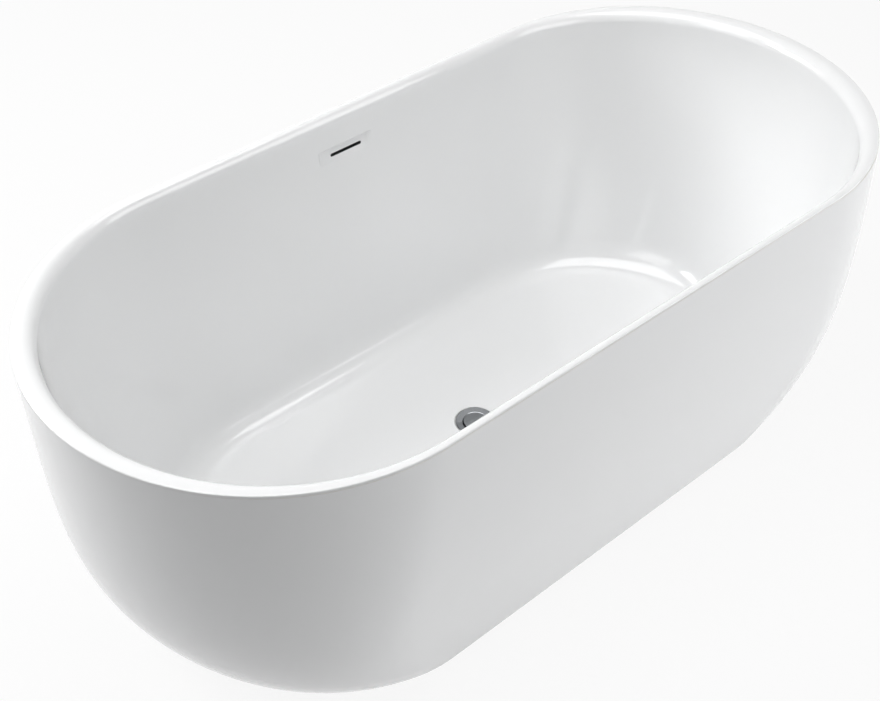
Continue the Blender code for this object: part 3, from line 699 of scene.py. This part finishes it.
def box(name, low, high, materials, bevel=0.0004, steps=2):
    # a block with rounded edges
    shape = bmesh.new()
    bmesh.ops.create_cube(shape, size=1)
    for vertex in shape.verts:
        vertex.co = Vector([a + (b - a) * (c + 0.5) for a, b, c in zip(low, high, vertex.co)])
    if bevel:
        bmesh.ops.bevel(shape, geom=shape.edges[:], offset=bevel, segments=steps, affect="EDGES",
                        profile=0.5)
    mesh = bpy.data.meshes.new(name)
    shape.to_mesh(mesh)
    shape.free()
    return sharpen(newObject(name, mesh, materials), 50)


def lathe(name, outline, materials, segments=96, center=(0, 0)):
    # an outline that starts and ends on the axis makes a solid; its two ends become fans
    shape = bmesh.new()
    rings = []
    for radius, z in outline:
        if radius < 1e-7:
            rings.append([shape.verts.new((center[0], center[1], z))])
        else:
            rings.append([shape.verts.new(p) for p in circle(radius, z, segments, center)])
    for first, second in zip(rings, rings[1:]):
        for i in range(segments):
            j = (i + 1) % segments
            corners = []
            for vertex in (first[i % len(first)], second[i % len(second)], second[j % len(second)],
                           first[j % len(first)]):
                if vertex not in corners:
                    corners.append(vertex)
            if len(corners) > 2:
                shape.faces.new(corners)
    bmesh.ops.recalc_face_normals(shape, faces=shape.faces)
    mesh = bpy.data.meshes.new(name)
    shape.to_mesh(mesh)
    shape.free()
    return sharpen(newObject(name, mesh, materials))


def threaded(name, radius, depth, pitch, low, high, materials, center, segments=24):
    # a rod with a screw thread that fades out at both ends
    steps = ceil((high - low) / pitch * 6)
    rings = []
    for k in range(steps + 1):
        z = low + (high - low) * k / steps
        fade = min(1, (z - low) / pitch, (high - z) / pitch)
        ring = []
        for i in range(segments):
            turn = i / segments
            wave = abs(((z / pitch - turn) % 1) * 2 - 1)
            reach = radius - depth * (1 - min(wave * 1.3, 1) * fade)
            ring.append(Vector((center[0] + reach * cos(2 * pi * turn),
                                center[1] + reach * sin(2 * pi * turn), z)))
        rings.append(ring)
    return sharpen(closeEnds(skin(name, rings, materials, wrap=False)), 50)


def buildFlange(chrome):
    spec = wasteSpec
    z = basinSpec["floorHeight"]
    top = z + spec["flangeRise"]
    outer = flangeHigh.x
    low = flangeLow.z
    under = z - spec["edgeDepth"]
    cup = drainSpec["holeRadius"] - 0.0005
    seat = z - spec["seatDepth"]
    dip = top - spec["flangeDip"]
    roundWidth, roundHeight = spec["edgeRound"]
    profile = [(outer, under), (outer, top - roundHeight)]
    for i in range(1, 7):
        angle = pi / 2 * i / 6
        profile.append((outer - roundWidth * (1 - cos(angle)), top - roundHeight * (1 - sin(angle))))
    dishStart = outer - roundWidth - spec["edgeFlat"]
    dishEnd = spec["seatRadius"] + 0.0010
    for i in range(1, 13):
        profile.append((dishStart + (dishEnd - dishStart) * i / 12, top + (dip - top) * i / 12))
    profile += [(spec["seatRadius"] + 0.0003, dip - 0.0004), (spec["seatRadius"], dip - 0.0012),
                (spec["seatRadius"] - 0.0005, seat + 0.0003), (spec["seatRadius"] - 0.0010, seat),
                (spec["tubeBore"] + 0.0010, seat), (spec["tubeBore"], seat - 0.0008),
                (spec["tubeBore"], low), (spec["tubeRadius"] - 0.0008, low)]
    pitch = spec["threadPitch"]
    count = int((seat - spec["threadStart"] - low) / pitch)
    for i in range(count):
        for share, reach in ((0.1, 1), (0.35, 0), (0.65, 0), (0.9, 1)):
            profile.append((spec["tubeRadius"] - spec["threadDepth"] * reach, low + pitch * (i + share)))
    profile += [(spec["tubeRadius"], seat - 0.0036), (cup, seat - 0.0022), (cup, under)]
    flange = turned("drainFlange", profile, [chrome], 128)
    reach = spec["tubeBore"] + 0.0008
    top = spec["spokeTop"]
    bottom = top - spec["spokeDrop"]
    for along, half in (("long", (reach, spec["spokeHalf"])), ("cross", (spec["spokeHalf"], reach))):
        spoke = box(f"{along} spoke", (-half[0], -half[1], bottom), (half[0], half[1], top), [chrome])
        cut(flange, spoke, "UNION")
    edge = spec["hubRound"]
    quarter = [pi / 2 * i / 3 for i in range(4)]
    hub = [(spec["hubRadius"] - edge * (1 - sin(a)), top - edge * (1 - cos(a))) for a in quarter]
    hub = [(0, top), *hub, (spec["hubRadius"], bottom), (0, bottom)]
    cut(flange, lathe("hub", hub, [chrome], 48), "UNION")
    bore = spec["hubBore"]
    over = 0.004
    outline = [(0, top + over), (bore, top + over), (bore, bottom - over), (0, bottom - over)]
    cut(flange, lathe("bore", outline, [chrome], 48))
    dressed(sharpen(flange, 35), "drain_flange")


def buildStopper(chrome, rubber):
    spec = stopperSpec
    low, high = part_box("stopper_cap")
    radius = high.x
    under = low.z + spec["plate"]
    edge = spec["edgeRound"]
    hollow = spec["hollow"]
    rim = radius - spec["rimWidth"]
    collar, boss = spec["collarRadius"], spec["bossRadius"]
    profile = [(0, high.z)]
    for i in range(1, 9):
        share = i / 8
        profile.append(((radius - edge) * share, high.z - spec["crown"] * share ** 2))
    start = profile[-1]
    for i in range(1, 8):
        angle = pi / 2 * i / 7
        profile.append((start[0] + edge * sin(angle), start[1] - edge * (1 - cos(angle))))
    profile += [(radius, under + hollow), (radius - hollow, under), (rim, under),
                (rim - hollow, under + hollow), (collar + 0.0005, under + hollow), (collar, under),
                (boss, under), (boss, low.z + 0.0005), (boss - 0.0005, low.z), (0, low.z)]
    cap = lathe("stopperCap", profile, [chrome], 128)
    dressed(cap, "stopper_cap", "stopper")
    low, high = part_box("stopper_seal")
    middle = (low.z + high.z) / 2
    half = (high.z - low.z) / 2
    outer = high.x
    profile = [(outer - 2 * half, middle + half * 0.9), (outer - half, middle + half * 0.95),
               (outer - 0.0003, middle + half * 0.35), (outer, middle),
               (outer - 0.0003, middle - half * 0.25), (outer - half * 0.7, middle - half * 0.2),
               (outer - half, middle - half * 0.95), (outer - 2 * half, middle - half * 0.9)]
    seal = turned("stopperSeal", softened(profile, 0.0004, 3), [rubber], 96)
    dressed(seal, "stopper_seal", "stopper")


def buildOutletNut(plastic):
    spec = nutSpec
    low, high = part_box("outlet_nut")
    outer = high.x
    bore = spec["bore"]
    ribs = spec["ribs"]
    edge = spec["chamfer"]
    segments = ribs * 8
    rings = []
    for z, inset in ((low.z, 0.0008), (low.z + 0.0008, 0), (high.z - 0.0026, 0), (high.z - 0.0018, 0.0012),
                     (high.z, 0.0020)):
        depth = spec["ribDepth"] if z < high.z - spec["ribTop"] else 0
        ring = []
        for i in range(segments):
            angle = 2 * pi * i / segments
            radius = outer - inset - depth * (1 - (0.5 + 0.5 * cos(ribs * angle)) ** 0.6)
            ring.append(Vector((radius * cos(angle), radius * sin(angle), z)))
        rings.append(ring)
    for z, grow in ((high.z, edge), (high.z - edge, 0), (low.z + edge, 0), (low.z, edge)):
        rings.append(circle(bore + grow, z, segments))
    dressed(sharpen(skin("outletNut", rings, [plastic]), 40), "outlet_nut")


buildFlange(finish["polishedChrome"])
buildStopper(finish["polishedChrome"], finish["blackRubber"])
buildOutletNut(finish["mouldedPlastic"])
print("waste built")


# overflow hose and its clips
hoseSpec = {
    "spigotLength": 0.034,
    "branchHeight": 0.036,
    "branchReach": 0.062,
    "bodyRadius": 0.0285,
    "gap": 0.0003,
    "outer": 0.0088,
    "bore": 0.0070,
    "rib": 0.0042,           # spacing of the corrugations
    "ribDepth": 0.0011,
    "cuffDepth": 0.0004,
    "sides": 24,
    "gapShares": (0.78, 0.55, 0.33),     # heights where it follows the gap between the shells
}
clipSpec = {
    "half": 0.004,           # half the band's width
    "clearance": 0.0004,     # to the hose
    "slots": 15,
    "slotHalf": (0.00035, 0.0022),
    "slotDepth": 0.00025,
    "housingHalf": 0.0046,
    "wormRadius": 0.0019,
    "wormHalf": 0.0050,
}


def curvePoints(route, spacing):
    # points at even spacing on the smooth curve through the route
    fine = []
    for i in range(len(route) - 1):
        before, after = route[max(i - 1, 0)], route[min(i + 2, len(route) - 1)]
        start, end = route[i], route[i + 1]
        for step in range(24):
            t = step / 24
            square = 2 * before - 5 * start + 4 * end - after
            cube = 3 * start - before - 3 * end + after
            fine.append(0.5 * (2 * start + (end - before) * t + square * t ** 2 + cube * t ** 3))
    fine.append(route[-1])
    points = [fine[0]]
    carried = 0.0
    for a, b in zip(fine, fine[1:]):
        span = (b - a).length
        while carried + span >= spacing:
            a = a.lerp(b, (spacing - carried) / span)
            span = (b - a).length
            carried = 0.0
            points.append(a.copy())
        carried += span
    points.append(fine[-1])
    return points


def gapMiddle(z):
    # middle of the gap between basin and skirt, halfway along the side
    skirtFace = halfWidth - skirtInsets(z)[1] - skirtSpec["wall"]
    return (sideWall(z) + basinSpec["wall"] + skirtFace) / 2


def buildHose(look, steel):
    spec = hoseSpec
    low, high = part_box("hose_clamp_top")
    start = Vector((0, (low.y + high.y) / 2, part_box("overflow_hose")[1].z))
    fall = Vector((0, 0, spec["spigotLength"]))
    height = spec["branchHeight"]
    reach = spec["branchReach"]
    lower = [(gapMiddle(share * start.z), share * start.z) for share in spec["gapShares"]]
    lower += [(halfWidth - 0.080, basinSpec["floorHeight"] + 0.012), (halfWidth - 0.120, height + 0.016),
              (halfWidth - 0.180, height), (reach + 0.030, height), (reach, height),
              (spec["bodyRadius"] + spec["gap"], height)]
    route = [start, start - fall, start - 1.5 * fall] + [Vector((0, y, z)) for y, z in lower]
    spacing = spec["rib"] / 4
    points = curvePoints(route, spacing)
    total = len(points)
    cuff = int(spec["spigotLength"] / spacing)
    turns = [2 * pi * i / spec["sides"] for i in range(spec["sides"])]
    across = Vector((1, 0, 0))
    rings = []
    for inside in (False, True):
        order = range(total - 1, -1, -1) if inside else range(total)
        for k in order:
            if inside and k % 6 and k not in (0, total - 1):
                continue
            along = (points[min(k + 1, total - 1)] - points[max(k - 1, 0)]).normalized()
            up = along.cross(across)
            if inside:
                radius = spec["bore"]
            elif cuff < k < total - cuff:
                radius = spec["outer"] - spec["ribDepth"] * (0.5 - 0.5 * cos(pi / 2 * k))
            else:
                radius = spec["outer"] - spec["cuffDepth"]
            rings.append([points[k] + radius * (cos(t) * across + sin(t) * up) for t in turns])
    hose = sharpen(skin("overflowHose", rings, [look]), 70)
    dressed(hose, "overflow_hose")
    for word, tilt in (("top", 0), ("bottom", pi / 2)):
        buildClip(word, tilt, steel)


def buildClip(word, tilt, steel):
    # a worm-drive clip: slotted band, raised housing and its screw
    spec = clipSpec
    low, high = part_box(f"hose_clamp_{word}")
    half = spec["half"]
    middle = Vector((0, (low.y + high.y) / 2, hoseSpec["branchHeight"] if tilt else (low.z + high.z) / 2))
    inner = hoseSpec["outer"] + spec["clearance"]
    outer = -low.x
    reach = high.x
    outline = [(outer, half), (inner, half), (inner, -half), (outer, -half)]
    band = turned("band", softened(outline, 0.0002, 2), [steel], 72)
    width, length = spec["slotHalf"]
    for i in range(spec["slots"]):
        angle = pi * 0.35 + pi * 1.3 * i / spec["slots"]
        bottom = outer - spec["slotDepth"]
        groove = box("groove", (bottom, -width, -length), (outer + 0.001, width, length), [steel], 0)
        groove.data.transform(Matrix.Rotation(angle, 4, "Z"))
        cut(band, groove)
    side = spec["housingHalf"]
    low, high = (outer - 0.0006, -side, -half), (reach - 0.0002, side, half)
    cut(band, box("housing", low, high, [steel], 0.0009, 3), "UNION")
    radius, end = spec["wormRadius"], spec["wormHalf"]
    outline = [(0, end), (radius - 0.0003, end), (radius, end - 0.0003), (radius, -end), (0, -end)]
    worm = lathe("worm", outline, [steel], 24)
    worm.data.transform(Matrix.Translation((reach - 0.0024, 0, 0)) @ Matrix.Rotation(pi / 2, 4, "X"))
    cut(band, worm, "UNION")
    band.data.transform(Matrix.Translation(middle) @ Matrix.Rotation(tilt, 4, "X"))
    band.name = f"hoseClip{word.capitalize()}"
    dressed(sharpen(band), f"hose_clamp_{word}")


buildHose(finish["hosePlastic"], finish["zincSteel"])
print("overflow hose built")


# feet, nuts and screws
footSpec = {
    "socket": 0.0053,
    "socketFloor": 0.006,
    "padHeight": 0.012,
    "lipHeight": 0.0022,
    "grooves": 3,
    "studRadius": 0.005,
    "pitch": 0.0015,
    "threadDepth": 0.0007,
}
lockNutSpec = {
    "clearance": 0.0003,     # to the stud
    "chamfer": 0.0007,
    "segments": 48,
    "cone": ((0, 0.84), (0.10, 0.945), (0.2, 1)),     # share of the height, share of the corner radius
}
screwSpec = {
    "taper": 1.4,            # length of the point, in shank radii
    "pitch": 0.9,
    "root": 0.76,
    "dome": 0.45,
    "cross": (0.55, 0.13),   # half length and half width of the recess, in head radii
    "barHead": 0.003,
}
footWords = [f"{word}_{end}" for word in ("left", "middle", "right") for end in ("near", "far")]


def pieceName(word):
    return "".join(part.capitalize() for part in word.split("_"))


def middleOf(node):
    low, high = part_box(node)
    return (low.x + high.x) / 2, (low.y + high.y) / 2, low, high


def buildFoot(word, rubber, steel):
    spec = footSpec
    body = f"foot_{word}"
    x, y, low, high = middleOf(f"foot_pad_{word}")
    radius = (high.x - low.x) / 2
    top = low.z + spec["padHeight"]
    lip = low.z + spec["lipHeight"]
    profile = [(0, low.z + spec["socketFloor"]), (spec["socket"], low.z + spec["socketFloor"]),
               (spec["socket"], top - 0.0006), (spec["socket"] + 0.0006, top),
               (radius * 0.58, top), (radius * 0.62, top - 0.0005)]
    for i in range(1, spec["grooves"] + 1):
        share = i / (spec["grooves"] + 1)
        r = radius * (0.62 + 0.38 * share)
        z = top + (lip - top) * share
        profile += [(r - 0.0007, z + 0.0008), (r - 0.0005, z), (r + 0.0004, z - 0.0003)]
    profile += [(radius - 0.0003, lip), (radius, lip - 0.0007), (radius, low.z + 0.0006),
                (radius - 0.0006, low.z), (radius - 0.003, low.z), (radius - 0.0035, low.z + 0.0008),
                (radius - 0.006, low.z + 0.0008), (radius - 0.0065, low.z), (0, low.z)]
    name = pieceName(word)
    pad = lathe(f"footPad{name}", profile, [rubber], 64, (x, y))
    dressed(pad, f"foot_pad_{word}", body)
    x, y, low, high = middleOf(f"foot_stud_{word}")
    stud = threaded(f"footStud{name}", spec["studRadius"], spec["threadDepth"], spec["pitch"],
                    low.z, high.z, [steel], (x, y))
    dressed(stud, f"foot_stud_{word}", body)
    buildLockNut(name, word, steel)


def buildLockNut(name, word, steel):
    # hexagon whose corners are cut back by a cone at both faces
    spec = lockNutSpec
    x, y, low, high = middleOf(f"lock_nut_{word}")
    corner = (high.x - low.x) / 2
    flat = corner * cos(pi / 6)
    segments = spec["segments"]
    rings = []
    height = high.z - low.z
    lower = [(low.z + height * up, corner * cone) for up, cone in spec["cone"]]
    upper = [(high.z - height * down, corner * cone) for down, cone in reversed(spec["cone"])]
    for z, cone in lower + upper:
        ring = []
        for i in range(segments):
            angle = 2 * pi * i / segments
            wedge = (angle % (pi / 3)) - pi / 6
            radius = min(flat / cos(wedge), cone)
            ring.append(Vector((x + radius * cos(angle), y + radius * sin(angle), z)))
        rings.append(ring)
    bore = footSpec["studRadius"] + spec["clearance"]
    edge = spec["chamfer"]
    for z, grow in ((high.z, edge), (high.z - edge, 0), (low.z + edge, 0), (low.z, edge)):
        rings.append(circle(bore + grow, z, segments, (x, y)))
    nut = sharpen(skin(f"lockNut{name}", rings, [steel]), 25)
    dressed(nut, f"lock_nut_{word}")


def crossScrew(name, shank, head, length, headHeight, steel):
    # pan-head screw standing on its head's seat at z = 0, point up, head below
    spec = screwSpec
    profile = [(0, length), (shank * 0.25, length), (shank, length - shank * spec["taper"])]
    pitch = shank * spec["pitch"]
    for i in range(int((length - shank * 2) / pitch)):
        z = length - shank * 1.5 - pitch * (i + 0.5)
        profile += [(shank * spec["root"], z + pitch * 0.25), (shank, z)]
    edge = 0.0003
    profile += [(shank, 0), (head - edge, 0), (head, -edge)]
    for i in range(1, 7):
        angle = pi / 2 * i / 6
        profile.append((head - head * spec["dome"] * (1 - cos(angle)),
                        -edge - (headHeight - edge) * sin(angle)))
    profile.append((0, -headHeight))
    screw = lathe(name, profile, [steel], 32)
    long, short = (head * share for share in spec["cross"])
    for x, y in ((long, short), (short, long)):
        cut(screw, box("drive", (-x, -y, -headHeight - 0.001), (x, y, -headHeight * 0.4), [steel], 0))
    return sharpen(screw, 35)


def buildScrews(steel):
    height = screwSpec["barHead"]
    for word in footWords:
        node = f"bar_screw_{word}"
        x, y, low, high = middleOf(node)
        head = (high.x - low.x) / 2
        long = high.z - low.z - height
        screw = crossScrew(f"barScrew{pieceName(word)}", head / 2, head, long, height, steel)
        screw.data.transform(Matrix.Translation((x, y, low.z + height)))
        dressed(screw, node)
    for word in ("left", "right"):
        node = f"overflow_screw_{word}"
        x, _, low, high = middleOf(node)
        head = (high.x - low.x) / 2
        height = head / 2
        long = high.y - low.y - height
        screw = crossScrew(f"overflowScrew{pieceName(word)}", head / 2, head, long, height, steel)
        middle = Vector((x, high.y - height, (low.z + high.z) / 2))
        screw.data.transform(Matrix.Translation(middle) @ Matrix.Rotation(pi / 2, 4, "X"))
        dressed(screw, node)


for word in footWords:
    buildFoot(word, finish["blackRubber"], finish["zincSteel"])
buildScrews(finish["zincSteel"])
print("feet and screws built")


# the frame's own pieces that keep their shape: finish, and small rounded edges
keptSpec = {
    "base_board": ("resinBoard", 0.0008), "overflow_chamber": ("darkPlastic", 0.0005),
    "overflow_seal": ("blackRubber", 0.0002), "drain_seal_upper": ("blackRubber", 0.0003),
    "drain_seal_lower": ("blackRubber", 0.0004), "drain_body": ("mouldedPlastic", 0.0005),
    "stopper_cartridge": ("mouldedPlastic", 0.0003), "stopper_stem": ("zincSteel", 0.0003),
    "stopper_spring": ("zincSteel", 0),
}
for word in ("left", "middle", "right"):
    keptSpec[f"cross_bar_{word}"] = ("powderCoat", 0.0006)
for word in footWords:
    keptSpec[f"bar_cap_{word}"] = ("mouldedPlastic", 0.0006)
for node, (look, edge) in keptSpec.items():
    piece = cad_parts[node]
    piece.data.materials.clear()
    piece.data.materials.append(finish[look])
    if edge:
        step = piece.modifiers.new("soft edges", "BEVEL")
        step.width = edge
        step.segments = 2
        step.limit_method = "ANGLE"
        step.angle_limit = radians(40)
        step.use_clamp_overlap = True
print("kept pieces finished")


# studio
cameraSpec = {
    "place": (-1.46692, -1.44160, 2.02560),
    "azimuth": -43.479, "elevation": 40.730, "roll": 1.4677,
    "lens": 59.858,
}
# each lamp: place, the point it faces, width, height, watts
lampSpec = {
    "right low": ((3.0, -2.8, 0.4), (0, 0, 0.3), 2.4, 0.7, 44),
    "right front": ((1.6, -3.4, 1.8), (0, 0, 0.3), 2.4, 2.2, 44),
    "top": ((0.2, 0.2, 3.2), (0, 0, 0.3), 2.6, 1.6, 47),
    "left high": ((-2.2, 0.0, 2.9), (0.4, 0, 0.3), 1.6, 1.6, 20),
    "rear left": ((-1.8, 2.4, 2.6), (0, 0, 0.4), 1.8, 1.6, 88),
}
floorSpec = {
    "half": 12,
    "color": (0.80, 0.80, 0.80, 1),
    "glow": 0.90,            # share of plain white in the floor as it is seen
}
skySpec = {
    "low": 0.04, "high": 0.02,       # strength at the horizon and overhead
    "from": 0.25, "to": 0.75,        # height of the change, as the sine of the elevation
}


def buildCamera(spec):
    azimuth, elevation, roll = (radians(spec[k]) for k in ("azimuth", "elevation", "roll"))
    back = Vector((sin(azimuth) * cos(elevation), -cos(azimuth) * cos(elevation), sin(elevation)))
    right = (-back).cross(Vector((0, 0, 1))).normalized()
    up = right.cross(-back)
    rolledRight = cos(roll) * right + sin(roll) * up
    rolledUp = -sin(roll) * right + cos(roll) * up
    data = bpy.data.cameras.new("camera")
    data.lens = spec["lens"]
    data.sensor_width = 36
    camera = bpy.data.objects.new("camera", data)
    scene.collection.objects.link(camera)
    camera.matrix_world = Matrix((
        (rolledRight.x, rolledUp.x, back.x, spec["place"][0]),
        (rolledRight.y, rolledUp.y, back.y, spec["place"][1]),
        (rolledRight.z, rolledUp.z, back.z, spec["place"][2]),
        (0, 0, 0, 1)))
    scene.camera = camera


def buildLamps():
    for name, (place, target, width, height, watts) in lampSpec.items():
        data = bpy.data.lights.new(name, "AREA")
        data.shape = "RECTANGLE"
        data.size, data.size_y = width, height
        data.energy = watts
        lamp = bpy.data.objects.new(name, data)
        scene.collection.objects.link(lamp)
        lamp.location = place
        lamp.rotation_euler = (Vector(target) - Vector(place)).to_track_quat("-Z", "Y").to_euler()


def seenRays(tree):
    # one for a ray that shows the background, straight to the camera or by way of metal or glass
    path = addNode(tree, "ShaderNodeLightPath")
    mirrored = addNode(tree, "ShaderNodeMath", {
        0: path.outputs["Is Camera Ray"], 1: path.outputs["Is Glossy Ray"]}, operation="ADD")
    total = addNode(tree, "ShaderNodeMath", {
        0: mirrored.outputs[0], 1: path.outputs["Is Transmission Ray"]}, operation="ADD", use_clamp=True)
    return total.outputs[0]


def buildFloor():
    mesh = bpy.data.meshes.new("floor")
    half = floorSpec["half"]
    corners = [(-half, -half, 0), (half, -half, 0), (half, half, 0), (-half, half, 0)]
    mesh.from_pydata(corners, [], [(0, 1, 2, 3)])
    floor = bpy.data.objects.new("floor", mesh)
    scene.collection.objects.link(floor)
    look = bpy.data.materials.new("pale floor")
    look.use_nodes = True
    tree = look.node_tree
    shader = tree.nodes["Principled BSDF"]
    shader.inputs["Base Color"].default_value = floorSpec["color"]
    shader.inputs["Roughness"].default_value = 0.9
    glow = addNode(tree, "ShaderNodeEmission", {"Color": (1, 1, 1, 1), "Strength": 1.0})
    share = addNode(tree, "ShaderNodeMath", {0: seenRays(tree), 1: floorSpec["glow"]}, operation="MULTIPLY")
    mixed = addNode(tree, "ShaderNodeMixShader", {
        0: share.outputs[0], 1: shader.outputs[0], 2: glow.outputs[0]})
    tree.links.new(mixed.outputs[0], tree.nodes["Material Output"].inputs["Surface"])
    mesh.materials.append(look)


def buildSky():
    world = bpy.data.worlds.new("studio")
    scene.world = world
    world.use_nodes = True
    tree = world.node_tree
    light = tree.nodes["Background"]
    light.inputs["Color"].default_value = (1, 1, 1, 1)
    place = addNode(tree, "ShaderNodeTexCoord")
    parts = addNode(tree, "ShaderNodeSeparateXYZ", {"Vector": place.outputs["Generated"]})
    strength = addNode(tree, "ShaderNodeMapRange", {
        "Value": parts.outputs["Z"], "From Min": skySpec["from"], "From Max": skySpec["to"],
        "To Min": skySpec["low"], "To Max": skySpec["high"]}, interpolation_type="SMOOTHSTEP")
    tree.links.new(strength.outputs["Result"], light.inputs["Strength"])
    white = addNode(tree, "ShaderNodeBackground", {"Color": (1, 1, 1, 1), "Strength": 1.0})
    mixed = addNode(tree, "ShaderNodeMixShader", {
        0: seenRays(tree), 1: light.outputs[0], 2: white.outputs[0]})
    tree.links.new(mixed.outputs[0], tree.nodes["World Output"].inputs["Surface"])


buildCamera(cameraSpec)
buildLamps()
buildFloor()
buildSky()
scene.view_settings.view_transform = "Standard"
print("studio set")
